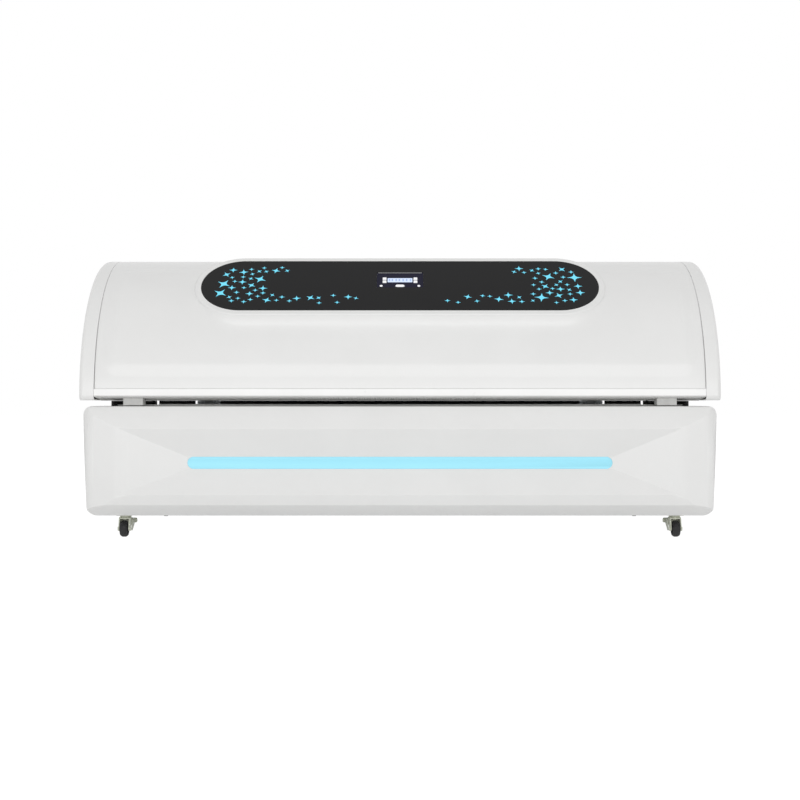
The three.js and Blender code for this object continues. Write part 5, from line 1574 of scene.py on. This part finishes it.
@dataclass
class LedField:
    """Rows of small LED packages laid over a curved board."""

    pitch: float = 30 * MM
    package: float = 5 * MM
    height: float = 1.4 * MM
    half_length: float = 840 * MM
    base_share: float = 0.6
    inset_share: float = 0.16
    lid_first: float = math.radians(6)
    lid_last: float = math.radians(174.1)
    lid_step: float = math.radians(4)
    lid_middle_z: float = 420 * MM
    bed_half_width: float = 315 * MM
    bed_look_z: float = 395 * MM

    def package_mesh(self, name: str) -> Object:
        """One package: a low square block drawn in towards its dome.

        Args:
            name: The name of the piece.

        Returns:
            The package.
        """
        half = self.package / 2
        piece = box_piece(name, (-half, -half, 0), (half, half, self.height * self.base_share))
        with editing(piece, Pick.FACES):
            select(piece, Pick.FACES, lambda face: face.normal.z < -FACING)
            bpy.ops.mesh.delete(type="FACE")
            select(piece, Pick.FACES, lambda face: face.normal.z > FACING)
            bpy.ops.mesh.inset(thickness=self.package * self.inset_share)
            bpy.ops.transform.translate(value=(0, 0, self.height * (1 - self.base_share)))
        return piece

    def facing(self, node: Object, start: Vector, way: Vector) -> Matrix | None:
        """Where a ray meets a board, and how a package stands there.

        Args:
            node: The board.
            start: Where the ray starts, in the middle of the bed.
            way: Where it goes.

        Returns:
            The package's place, or nothing where the ray misses.
        """
        back = node.matrix_world.inverted()
        hit, spot, normal, _ = node.ray_cast(back @ start, back.to_3x3() @ way)
        if not hit:
            return None
        normal = node.matrix_world.to_3x3() @ normal
        if normal.dot(way) > 0:
            normal.negate()
        turn = normal.to_track_quat("Z", "X").to_matrix().to_4x4()
        return Matrix.Translation(node.matrix_world @ spot) @ turn

    def over_lid(self, node: Object) -> list[Matrix]:
        """Places over the lid's arched board, seen from the middle of its foot.

        Args:
            node: The board.

        Returns:
            The places.
        """
        start = Vector((0, 0, self.lid_middle_z))
        turns = spread(self.lid_first, self.lid_last, self.lid_step)
        return self.rows(node, [(start, Vector((0, math.cos(turn), math.sin(turn)))) for turn in turns])

    def over_bed(self, node: Object) -> list[Matrix]:
        """Places over the bed's board, seen from above.

        Args:
            node: The board.

        Returns:
            The places.
        """
        count = round(2 * self.bed_half_width / self.pitch)
        ys = [-self.bed_half_width + self.pitch * index for index in range(count + 1)]
        return self.rows(node, [(Vector((0, y, self.bed_look_z)), Vector((0, 0, -1))) for y in ys])

    def rows(self, node: Object, lines: Sequence[tuple[Vector, Vector]]) -> list[Matrix]:
        """Rows of places along the bed, one for each line of sight.

        Args:
            node: The board.
            lines: Where each line starts at the bed's middle, and which way it goes.

        Returns:
            The places that the board has.
        """
        count = round(2 * self.half_length / self.pitch)
        found = []
        for index in range(count + 1):
            along = Vector((-self.half_length + 2 * self.half_length * index / count, 0, 0))
            for start, way in lines:
                place = self.facing(node, start + along, way)
                if place is not None:
                    found.append(place)
        return found

    def lay(self, name: str, places: Sequence[Matrix]) -> Object:
        """Copies the package to every place as one piece.

        Args:
            name: The name of the piece.
            places: Where each package sits, its Z pointing out of the board.

        Returns:
            All packages.
        """
        first = self.package_mesh(name)
        source = bmesh.new()
        source.from_mesh(first.data)
        points = [vert.co.copy() for vert in source.verts]
        faces = [[vert.index for vert in face.verts] for face in source.faces]
        source.free()
        whole, rows = [], []
        for place in places:
            base = len(whole)
            whole += [place @ point for point in points]
            rows += [[base + index for index in face] for face in faces]
        first.data.clear_geometry()
        first.data.from_pydata(whole, [], rows)
        return first


def linear(colour: str) -> tuple[float, float, float, float]:
    """Turns an sRGB hex colour into Blender's linear values with full alpha.

    Args:
        colour: The colour as #RRGGBB.

    Returns:
        Red, green, blue and alpha.
    """
    values = [int(colour[start:start + 2], 16) / 255 for start in (1, 3, 5)]
    red, green, blue = [v / 12.92 if v <= 0.04045 else ((v + 0.055) / 1.055) ** 2.4 for v in values]
    return red, green, blue, 1.0


def add_node(tree: NodeTree, kind: str, settings: dict[str, object] | None = None,
             links: dict[str, NodeSocket] | None = None) -> Node:
    """Adds a node with its settings and links.

    Args:
        tree: The node tree that it goes into.
        kind: Blender's name for the node type.
        settings: Values of its properties, or of its unlinked inputs.
        links: Sources of its linked inputs.

    Returns:
        The node.
    """
    node = tree.nodes.new(kind)
    for key, value in (settings or {}).items():
        if hasattr(node, key):
            setattr(node, key, value)
        else:
            node.inputs[key].default_value = value
    for key, source in (links or {}).items():
        tree.links.new(source, node.inputs[key])
    return node


@dataclass(frozen=True)
class Finish:
    """A plain finish: one shader whose uniform values sit on its own sockets."""

    name: str
    colour: str
    roughness: float = 0.45
    metallic: float = 0.0
    ior: float = 1.5
    coat: float = 0.0
    coat_roughness: float = 0.1
    specular: float = 0.5
    grain: float = 0.6 * MM
    grain_depth: float = 0.02 * MM
    tone_size: float = 160 * MM
    tone_change: float = 0.03

    def make(self) -> Material:
        """Builds the material.

        Returns:
            The material, built anew.
        """
        material = bpy.data.materials.new(self.name)
        material.use_nodes = True
        material.diffuse_color = linear(self.colour)
        tree = material.node_tree
        tree.nodes.clear()
        shader = add_node(tree, "ShaderNodeBsdfPrincipled", {
            "Base Color": linear(self.colour), "Roughness": self.roughness,
            "Metallic": self.metallic, "IOR": self.ior, "Coat Weight": self.coat,
            "Coat Roughness": self.coat_roughness, "Specular IOR Level": self.specular})
        place = add_node(tree, "ShaderNodeTexCoord").outputs["Object"]
        self.pattern(tree, shader, place)
        add_node(tree, "ShaderNodeOutputMaterial", links={"Surface": shader.outputs["BSDF"]})
        return material

    def pattern(self, tree: NodeTree, shader: Node,
                place: NodeSocket) -> None:
        """Adds the surface's own pattern: slow changes of tone and a fine grain.

        Args:
            tree: The material's nodes.
            shader: Its shader.
            place: Object coordinates in metres.
        """
        self.tone(tree, shader, place)
        grain = add_node(tree, "ShaderNodeTexNoise", {"Scale": 1 / self.grain, "Detail": 2.0},
                         {"Vector": place})
        bump = add_node(tree, "ShaderNodeBump", {"Strength": 0.35, "Distance": self.grain_depth},
                        {"Height": grain.outputs["Fac"]})
        tree.links.new(bump.outputs["Normal"], shader.inputs["Normal"])

    def tone(self, tree: NodeTree, shader: Node,
             place: NodeSocket) -> None:
        """Links a slow change of colour and gloss over the surface.

        Args:
            tree: The material's nodes.
            shader: Its shader.
            place: Object coordinates in metres.
        """
        cloud = add_node(tree, "ShaderNodeTexNoise", {"Scale": 1 / self.tone_size, "Detail": 3.0},
                         {"Vector": place})
        base = Vector(linear(self.colour)[:3])
        low, high = base * (1 - self.tone_change), base * (1 + self.tone_change * 0.5)
        ramp = add_node(tree, "ShaderNodeValToRGB", links={"Fac": cloud.outputs["Fac"]})
        ramp.color_ramp.elements[0].position, ramp.color_ramp.elements[1].position = 0.35, 0.65
        ramp.color_ramp.elements[0].color = (*low, 1)
        ramp.color_ramp.elements[1].color = (*high, 1)
        tree.links.new(ramp.outputs["Color"], shader.inputs["Base Color"])
        gloss = add_node(tree, "ShaderNodeMapRange", {
            "From Min": 0.3, "From Max": 0.7, "To Min": self.roughness * 0.9,
            "To Max": min(1.0, self.roughness * 1.12)}, {"Value": cloud.outputs["Fac"]})
        tree.links.new(gloss.outputs["Result"], shader.inputs["Roughness"])


@dataclass(frozen=True)
class BrushedMetal(Finish):
    """Metal with fine straight brush lines along the bed."""

    line_width: float = 0.9 * MM
    line_length: float = 60 * MM

    def pattern(self, tree: NodeTree, shader: Node,
                place: NodeSocket) -> None:
        """Draws the brush lines in gloss and height.

        Args:
            tree: The material's nodes.
            shader: Its shader.
            place: Object coordinates in metres.
        """
        self.tone(tree, shader, place)
        stretch = add_node(tree, "ShaderNodeMapping", {"Scale": (
            1 / self.line_length, 1 / self.line_width, 1 / self.line_width)}, {"Vector": place})
        lines = add_node(tree, "ShaderNodeTexNoise", {"Scale": 1.0, "Detail": 2.0},
                         {"Vector": stretch.outputs["Vector"]})
        gloss = add_node(tree, "ShaderNodeMapRange", {
            "To Min": self.roughness * 0.75, "To Max": self.roughness * 1.3},
            {"Value": lines.outputs["Fac"]})
        tree.links.new(gloss.outputs["Result"], shader.inputs["Roughness"])
        bump = add_node(tree, "ShaderNodeBump", {"Strength": 0.25, "Distance": self.grain_depth},
                        {"Height": lines.outputs["Fac"]})
        tree.links.new(bump.outputs["Normal"], shader.inputs["Normal"])


@dataclass(frozen=True)
class Glow(Finish):
    """Lit plastic: it shines in its own colour."""

    glow: str = "#FFFFFF"
    strength: float = 1.0

    def pattern(self, tree: NodeTree, shader: Node,
                place: NodeSocket) -> None:
        """Sets the light and a slight unevenness of the lit face.

        Args:
            tree: The material's nodes.
            shader: Its shader.
            place: Object coordinates in metres.
        """
        shader.inputs["Emission Color"].default_value = linear(self.glow)
        cloud = add_node(tree, "ShaderNodeTexNoise", {"Scale": 1 / self.tone_size, "Detail": 1.0},
                         {"Vector": place})
        level = add_node(tree, "ShaderNodeMapRange", {
            "From Min": 0.3, "From Max": 0.7, "To Min": self.strength * (1 - self.tone_change),
            "To Max": self.strength * (1 + self.tone_change)}, {"Value": cloud.outputs["Fac"]})
        tree.links.new(level.outputs["Result"], shader.inputs["Emission Strength"])


@dataclass(frozen=True)
class ClearSheet(Finish):
    """Clear cast acrylic: light goes through, edges and gloss show."""

    def pattern(self, tree: NodeTree, shader: Node,
                place: NodeSocket) -> None:
        """Sets the clearness and a faint waviness.

        Args:
            tree: The material's nodes.
            shader: Its shader.
            place: Object coordinates in metres.
        """
        shader.inputs["Transmission Weight"].default_value = 1.0
        wave = add_node(tree, "ShaderNodeTexNoise", {"Scale": 1 / self.tone_size, "Detail": 1.0},
                        {"Vector": place})
        bump = add_node(tree, "ShaderNodeBump", {"Strength": 0.1, "Distance": self.grain_depth},
                        {"Height": wave.outputs["Fac"]})
        tree.links.new(bump.outputs["Normal"], shader.inputs["Normal"])


# Vacuum-formed ABS with an acrylic cap layer: a soft, even gloss on near-white
WHITE_ABS = Finish("white_formed_abs", "#E8E8E7", roughness=0.4, coat=0.3, coat_roughness=0.14,
                   grain=2.5 * MM, grain_depth=0.012 * MM, tone_change=0.012)
# The same sheet along the rim, a little glossier; its whiter colour is a painted highlight on the hem
HEM_HIGHLIGHT_ABS = Finish("abs_hem_painted_highlight", "#EFEFEE", roughness=0.3, coat=0.4, coat_roughness=0.1,
                      grain=2.5 * MM, grain_depth=0.012 * MM)
# Black sponge rubber, dull all over; on the gap seal its black is painted shade standing in for the dark
# gap between lid and base
GAP_SHADE_RUBBER = Finish("black_rubber_gap_shade", "#161616", roughness=0.9, grain=0.9 * MM,
                     grain_depth=0.08 * MM)
# Screen-printed black acrylic sheet: deep and glassy, with the faintest smears
BLACK_ACRYLIC = Finish("black_printed_acrylic", "#1A1A1B", roughness=0.3, specular=0.1,
                       grain=3 * MM, grain_depth=0.004 * MM, tone_change=0.05)
# Glass over a dark blue print
MODULE_GLASS = Finish("dark_module_glass", "#1B1A30", roughness=0.15, specular=0.08, grain=3 * MM,
                      grain_depth=0.004 * MM)
# Grey bar along the top of the display module: a painted highlight standing in for the lit upper edge of
# its window
MODULE_HIGHLIGHT_LIP = Finish("grey_lip_painted_highlight", "#8E8E90", roughness=0.5)
# Soft white silicone keys, lit from behind
KEY_SILICONE = Glow("lit_white_silicone", "#B9BABD", roughness=0.5, glow="#FFFFFF", strength=0.5)
# Backlit display with a pale blue cast
DISPLAY_LIGHT = Glow("display_backlight", "#8E9AAE", roughness=0.2, glow="#D3E1FC", strength=0.72)
# Bars of the display, dimmer than its ground
DISPLAY_SEGMENT = Glow("display_segment", "#6F7F9E", roughness=0.3, glow="#A9BCE8", strength=0.6)
# Frosted acrylic over a row of blue LEDs: flat cyan light with no hot spots
CYAN_DIFFUSER = Glow("frosted_cyan_acrylic", "#5FA8BC", roughness=0.5, glow="#BCF3FF", strength=0.5,
                     tone_change=0.02)
# Cyan inlays in the fascia, lit from behind
CYAN_INLAY = Glow("cyan_inlay", "#3A7F94", roughness=0.5, glow="#68CCE4", strength=0.95)
# Anodised extruded aluminium with its drawing lines
RAIL_ALUMINIUM = BrushedMetal("anodised_aluminium", "#C2C2C0", roughness=0.6, metallic=0.25,
                              grain_depth=0.01 * MM)
# Perforated sheet in satin anodising; its near-white colour is painted light on the rail's shaded broad
# underside
PAINTED_LIGHT_ALUMINIUM = BrushedMetal("perforated_aluminium_painted_light", "#ECECEA", roughness=0.55,
                                    metallic=0.1, grain_depth=0.01 * MM)
# Rolled aluminium reflector, brighter than the rails
REFLECTOR_ALUMINIUM = BrushedMetal("rolled_reflector_aluminium", "#DADCDD", roughness=0.22,
                                   metallic=1.0, grain_depth=0.006 * MM)
# Light grey powder coat with its orange peel
FRAME_PAINT = Finish("grey_powder_coat", "#B9BCBE", roughness=0.5, grain=1.8 * MM,
                     grain_depth=0.06 * MM)
# Cream powder coat on the pressed caster parts
CASTER_PAINT = Finish("cream_powder_coat", "#D5D8C6", roughness=0.42, grain=1.2 * MM,
                      grain_depth=0.05 * MM, tone_size=14 * MM, tone_change=0.08)
# White solder mask on an aluminium-core board
LED_BOARD = Finish("white_solder_mask", "#E4E4DE", roughness=0.4, grain=0.8 * MM)
# White ceramic LED packages with their yellowish silicone dome
LED_PACKAGE = Finish("led_package", "#E8D6B4", roughness=0.25, tone_size=30 * MM)
# Clear cast acrylic: only its edges and its gloss are seen
CLEAR_ACRYLIC = ClearSheet("clear_cast_acrylic", "#FFFFFF", roughness=0.02, ior=1.49,
                           grain_depth=0.2 * MM)
# Light grey vulcanised rubber, dull with a fine bloom
BUFFER_RUBBER = Finish("grey_rubber", "#C4C4C2", roughness=0.8, grain=0.9 * MM,
                       grain_depth=0.08 * MM, tone_size=20 * MM, tone_change=0.08)
# Black glass-filled nylon with a moulded grain
BLACK_NYLON = Finish("black_moulded_nylon", "#202123", roughness=0.5, grain=1.1 * MM,
                     grain_depth=0.06 * MM)
# Zinc-plated steel with a bluish shine
ZINC_STEEL = Finish("zinc_plated_steel", "#C3C8CC", roughness=0.28, metallic=1.0, grain=1.5 * MM,
                    tone_size=12 * MM, tone_change=0.08)
# Black lacquered steel tube
BLACK_LACQUER = Finish("black_lacquered_steel", "#161719", roughness=0.3, coat=0.5)
# Black polyurethane tread, dull and slightly dusty
TYRE = Finish("black_polyurethane", "#19191A", roughness=0.7, grain=0.9 * MM,
              grain_depth=0.1 * MM, tone_size=18 * MM, tone_change=0.2)


@dataclass
class Wardrobe:
    """Makes each finish once and lays it on pieces."""

    made: dict[str, Material] = field(default_factory=dict)

    def material(self, finish: Finish) -> Material:
        """The material of a finish, made when it is first asked for.

        Args:
            finish: The finish.

        Returns:
            Its material.
        """
        if finish.name not in self.made:
            self.made[finish.name] = finish.make()
        return self.made[finish.name]

    def dress(self, piece: Object, finish: Finish) -> None:
        """Gives a piece one finish all over."""
        piece.data.materials.clear()
        piece.data.materials.append(self.material(finish))

    def paint(self, piece: Object, finish: Finish,
              test: Callable[[MeshPolygon], bool]) -> None:
        """Gives the faces that pass a test a second finish.

        Args:
            piece: The dressed piece.
            finish: The second finish.
            test: Takes one face and says whether it gets it.
        """
        piece.data.materials.append(self.material(finish))
        for face in piece.data.polygons:
            if test(face):
                face.material_index = len(piece.data.materials) - 1

    def hand_over(self, piece: Object, finish: Finish, body: str, slot: str,
                  nodes: Sequence[str] = ()) -> None:
        """Finishes a new piece, hangs it on its body and reports it.

        Args:
            piece: The new piece.
            finish: Its finish.
            body: The body that it rides on.
            slot: The record's material slot, not used.
            nodes: The nodes that it stands for.
        """
        self.dress(piece, finish)
        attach(piece, body)
        if nodes:
            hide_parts(*nodes)
        LOG.info("%s rides on %s", piece.name, body)

    def keep(self, name: str, finish: Finish, width: float = 0.6 * MM, segments: int = 2) -> None:
        """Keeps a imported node, with a finish and softly rounded edges.

        Args:
            name: The node.
            finish: Its finish.
            width: Width of the rounding.
            segments: Facets across the rounding.
        """
        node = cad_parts[name]
        material = self.material(finish)
        for slot in node.material_slots:
            slot.material = material
        if not node.material_slots:
            node.data.materials.append(material)
        weld = node.modifiers.new("Weld", "WELD")
        weld.merge_threshold = NEAR
        bevel = node.modifiers.new("Bevel", "BEVEL")
        bevel.width, bevel.segments = width, segments
        bevel.limit_method, bevel.angle_limit = "ANGLE", CRISP_ANGLE
        even = node.modifiers.new("WeightedNormal", "WEIGHTED_NORMAL")
        even.keep_sharp = True
        LOG.info("%s keeps its packed shape", name)


@dataclass
class Studio:
    """Plain white floor and background, one soft lamp and the photograph's camera."""

    camera_distance: float = 4.530
    camera_height: float = 0.420
    focal_length: float = 60.94
    sensor_width: float = 36.0
    floor_size: float = 60.0
    world_strength: float = 0.69
    front_power: float = 84.0
    front_size: Pair = (7.5, 1.4)
    front_distance: float = 5.2
    front_height: float = 1.0
    floor_white: float = 1.12
    near_white: float = 0.9
    near_reach: float = 1.6
    far_reach: float = 3.2

    def camera(self) -> None:
        """Sets the camera level with the lid's rim, square to the front."""
        data = bpy.data.cameras.new("camera")
        data.lens, data.sensor_width = self.focal_length, self.sensor_width
        camera = bpy.data.objects.new("camera", data)
        camera.location = (0.0, -self.camera_distance, self.camera_height)
        camera.rotation_euler = (QUARTER_TURN, 0.0, 0.0)
        bpy.context.scene.collection.objects.link(camera)
        bpy.context.scene.camera = camera

    def seen_rays(self, tree: NodeTree) -> NodeSocket:
        """A value of 1 for camera, glossy and transmission rays.

        Args:
            tree: The nodes that ask for it.

        Returns:
            The socket that gives it.
        """
        path = add_node(tree, "ShaderNodeLightPath")
        shiny = add_node(tree, "ShaderNodeMath", {"operation": "MAXIMUM"})
        tree.links.new(path.outputs["Is Camera Ray"], shiny.inputs[0])
        tree.links.new(path.outputs["Is Glossy Ray"], shiny.inputs[1])
        seen = add_node(tree, "ShaderNodeMath", {"operation": "MAXIMUM"})
        tree.links.new(shiny.outputs[0], seen.inputs[0])
        tree.links.new(path.outputs["Is Transmission Ray"], seen.inputs[1])
        return seen.outputs[0]

    def world(self) -> None:
        """Lights all round at a plain level, and shows white to the camera."""
        world = bpy.data.worlds.new("studio")
        bpy.context.scene.world = world
        world.use_nodes = True
        tree = world.node_tree
        tree.nodes.clear()
        strength = add_node(tree, "ShaderNodeMapRange", {
            "To Min": self.world_strength, "To Max": 1.0}, {"Value": self.seen_rays(tree)})
        light = add_node(tree, "ShaderNodeBackground", {"Color": (1, 1, 1, 1)},
                         {"Strength": strength.outputs["Result"]})
        add_node(tree, "ShaderNodeOutputWorld", links={"Surface": light.outputs["Background"]})

    def floor(self) -> None:
        """A white floor that keeps the bed's soft shadow."""
        bpy.ops.mesh.primitive_plane_add(size=self.floor_size)
        floor = adopt("floor")
        material = bpy.data.materials.new("white_floor")
        material.use_nodes = True
        tree = material.node_tree
        tree.nodes.clear()
        diffuse = add_node(tree, "ShaderNodeBsdfDiffuse", {"Color": linear("#F4F4F4")})
        white = add_node(tree, "ShaderNodeEmission", {
            "Color": (1, 1, 1, 1), "Strength": self.floor_white})
        place = add_node(tree, "ShaderNodeTexCoord").outputs["Object"]
        away = add_node(tree, "ShaderNodeVectorMath", {"operation": "LENGTH"})
        tree.links.new(place, away.inputs[0])
        fade = add_node(tree, "ShaderNodeMapRange", {
            "From Min": self.near_reach, "From Max": self.far_reach, "To Min": self.near_white,
            "To Max": 1.0}, {"Value": away.outputs["Value"]})
        share = add_node(tree, "ShaderNodeMath", {"operation": "MULTIPLY"})
        tree.links.new(self.seen_rays(tree), share.inputs[0])
        tree.links.new(fade.outputs["Result"], share.inputs[1])
        mix = add_node(tree, "ShaderNodeMixShader")
        tree.links.new(share.outputs[0], mix.inputs[0])
        tree.links.new(diffuse.outputs[0], mix.inputs[1])
        tree.links.new(white.outputs[0], mix.inputs[2])
        add_node(tree, "ShaderNodeOutputMaterial", links={"Surface": mix.outputs[0]})
        floor.data.materials.append(material)

    def front_lamp(self) -> None:
        """A long soft lamp behind the camera, as wide as the bed needs to be lit evenly."""
        data = bpy.data.lights.new("front_lamp", "AREA")
        data.shape = "RECTANGLE"
        data.size, data.size_y = self.front_size
        data.energy = self.front_power
        lamp = bpy.data.objects.new("front_lamp", data)
        lamp.location = (0.0, -self.front_distance, self.front_height)
        lamp.rotation_euler = (QUARTER_TURN, 0.0, 0.0)
        bpy.context.scene.collection.objects.link(lamp)

    def build(self) -> None:
        """Sets up the camera, floor, world and lamp."""
        bpy.context.scene.view_settings.view_transform = "Standard"
        self.camera()
        self.floor()
        self.world()
        self.front_lamp()


@dataclass
class Lid:
    """The lid: its mouldings, control fascia, rim rails, LED panel and buffers."""

    wardrobe: Wardrobe
    plane: FasciaPlane = field(default_factory=FasciaPlane)
    front_rail: RimRail = field(default_factory=RimRail)
    rear_rail: RimRail = field(default_factory=lambda: RimRail(reach=867.7 * MM))
    hinge_notch: Notch = Notch(700 * MM, 15.6 * MM, 426 * MM, 455 * MM, 405 * MM, 435.8 * MM)
    rail_edge_y: float = -440 * MM
    rail_edge_facing: float = 0.8
    key_round: float = 0.8 * MM
    buffer_round: float = 1.5 * MM

    def mouldings(self) -> None:
        """Builds and dresses the shell, with a painted highlight on its hem, and both end caps."""
        shell = LidShell(self.plane)
        moulding = shell.build()
        self.wardrobe.hand_over(moulding, WHITE_ABS, "lid", "white_shell", ["lid_shell"])
        hem_top = shell.spring_z + shell.rim_height + shell.hem_height
        # The hem's faces get a whiter colour: a painted highlight along the rim
        self.wardrobe.paint(moulding, HEM_HIGHLIGHT_ABS, lambda face: face.center.z < hem_top)
        for name, side in SIDES.items():
            self.wardrobe.hand_over(LidCap().build(f"lid_{name}_cap_moulding", side), WHITE_ABS, "lid",
                               "white_shell", [f"lid_{name}_cap"])

    def controls(self) -> None:
        """Builds and dresses the fascia with its stars, and the display and key module."""
        fascia = ControlFascia(self.plane)
        self.wardrobe.hand_over(fascia.plate(), BLACK_ACRYLIC, "lid", "fascia_black", ["control_fascia"])
        self.wardrobe.hand_over(fascia.stars.build(self.plane), CYAN_INLAY, "lid", "strip_blue")
        self.wardrobe.hand_over(fascia.bezel(), MODULE_GLASS, "lid", "module_black", ["display_module"])
        self.wardrobe.hand_over(fascia.screen(), DISPLAY_LIGHT, "lid", "strip_blue")
        self.wardrobe.hand_over(fascia.segments(), DISPLAY_SEGMENT, "lid", "strip_blue")
        # The grey lip is a painted highlight on the window's upper edge
        self.wardrobe.hand_over(fascia.lip(), MODULE_HIGHLIGHT_LIP, "lid", "rail_aluminium")
        for name, side in SIDES.items():
            self.wardrobe.hand_over(fascia.lamp(f"indicator_lamp_{name}", side), KEY_SILICONE, "lid",
                               "key_white")
        for key in ("start_key", "arrow_key_upper_left", "arrow_key_upper_right",
                    "arrow_key_lower_left", "arrow_key_lower_right"):
            self.wardrobe.keep(key, KEY_SILICONE, self.key_round, segments=3)

    def rails(self) -> None:
        """Builds and dresses both perforated rails, the rear one notched for the hinges."""
        front = self.front_rail.build("lid_front_rail_perforated", -1)
        self.wardrobe.hand_over(front, PAINTED_LIGHT_ALUMINIUM, "lid", "rail_aluminium", ["lid_front_rail"])
        # The front edge faces keep the greyer aluminium; the rest of the rail carries the near-white
        # painted light
        self.wardrobe.paint(front, RAIL_ALUMINIUM, lambda face: face.normal.y < -self.rail_edge_facing
                       and face.center.y < self.rail_edge_y)
        rear = self.rear_rail.build("lid_rear_rail_perforated", 1)
        for side in SIDES.values():
            cut(rear, self.hinge_notch.block("hinge_notch", side))
        self.wardrobe.hand_over(rear, PAINTED_LIGHT_ALUMINIUM, "lid", "rail_aluminium", ["lid_rear_rail"])

    def inside(self) -> None:
        """Dresses the frame, LED panel, clear sheet and buffers, and sets the LEDs."""
        self.wardrobe.keep("lid_frame", FRAME_PAINT)
        self.wardrobe.keep("lid_led_panel", LED_BOARD)
        leds = LedField()
        self.wardrobe.hand_over(leds.lay("lid_leds", leds.over_lid(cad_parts["lid_led_panel"])),
                           LED_PACKAGE, "lid", "led_board")
        self.wardrobe.keep("lid_sheet", CLEAR_ACRYLIC)
        for side in SIDES:
            self.wardrobe.keep(f"lid_buffer_{side}", BUFFER_RUBBER, self.buffer_round, segments=3)

    def build(self) -> None:
        """Builds and dresses the whole lid."""
        self.mouldings()
        self.controls()
        self.rails()
        self.inside()


@dataclass
class Base:
    """The base: its covers, light strip, bed, power parts, rim seal and fans."""

    wardrobe: Wardrobe
    body: BaseBody = field(default_factory=BaseBody)
    strip: LightStrip = field(default_factory=LightStrip)
    leds: LedField = field(default_factory=LedField)
    cover_round: float = 0.7 * MM
    fan_round: float = 0.8 * MM

    def outside(self) -> None:
        """Builds and dresses the four covers and the light strip."""
        for name, piece in self.body.covers().items():
            if name == "front":
                cut(piece, self.strip.slot())
            soften(piece, self.cover_round)
            self.wardrobe.hand_over(piece, WHITE_ABS, "base", "white_shell", [f"{name}_cover"])
        self.wardrobe.hand_over(self.strip.lens(), CYAN_DIFFUSER, "base", "strip_blue", ["strip_diffuser"])

    def inside(self) -> None:
        """Dresses what the covers hold, and sets the LEDs and the rim seal."""
        plain = {
            "base_frame": FRAME_PAINT, "floor_pan": FRAME_PAINT, "strip_light_board": RAIL_ALUMINIUM,
            "bed_sheet": CLEAR_ACRYLIC, "bed_front_rail": RAIL_ALUMINIUM,
            "bed_rear_rail": RAIL_ALUMINIUM, "bed_led_board": LED_BOARD,
            "bed_reflector_tray": REFLECTOR_ALUMINIUM, "power_supply": RAIL_ALUMINIUM,
            "control_box": BLACK_NYLON, "mains_inlet": BLACK_NYLON, "mains_switch": BLACK_NYLON,
        }
        for name, finish in plain.items():
            self.wardrobe.keep(name, finish)
        places = self.leds.over_bed(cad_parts["bed_led_board"])
        self.wardrobe.hand_over(self.leds.lay("bed_leds", places), LED_PACKAGE, "base", "led_board")
        # The black seal is painted shade in the gap between lid and base
        self.wardrobe.hand_over(self.body.gap_shade_seal(), GAP_SHADE_RUBBER, "base", "buffer_rubber")
        for side in SIDES:
            self.wardrobe.keep(f"fan_frame_{side}", BLACK_NYLON, self.fan_round)
            self.wardrobe.keep(f"fan_rotor_{side}", BLACK_NYLON)

    def build(self) -> None:
        """Builds and dresses the whole base."""
        self.outside()
        self.inside()


@dataclass
class Mechanism:
    """Hinges, struts and casters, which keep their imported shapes."""

    wardrobe: Wardrobe
    plate_round: float = 0.4 * MM
    fork_round: float = 0.5 * MM
    wheel_round: float = 1.0 * MM

    def build(self) -> None:
        """Dresses every piece of the mechanism."""
        keep = self.wardrobe.keep
        for side in SIDES:
            keep(f"hinge_bracket_{side}", ZINC_STEEL)
            keep(f"hinge_pin_{side}", ZINC_STEEL)
            keep(f"strut_cylinder_{side}", BLACK_LACQUER)
            keep(f"strut_rod_{side}", ZINC_STEEL)
            for end in ("front", "rear"):
                keep(f"caster_plate_{end}_{side}", CASTER_PAINT, self.plate_round)
                keep(f"caster_fork_{end}_{side}", CASTER_PAINT, self.fork_round, segments=3)
                keep(f"caster_wheel_{end}_{side}", TYRE, self.wheel_round, segments=3)
            keep(f"caster_brake_front_{side}", CASTER_PAINT, self.fork_round, segments=3)


def main() -> None:
    """Builds every sub-assembly in order."""
    logging.basicConfig(level=logging.INFO, format="%(message)s")
    deselect_all()
    wardrobe = Wardrobe()
    Studio().build()
    for assembly in (Lid(wardrobe), Base(wardrobe), Mechanism(wardrobe)):
        assembly.build()


if __name__ == "__main__":
    main()
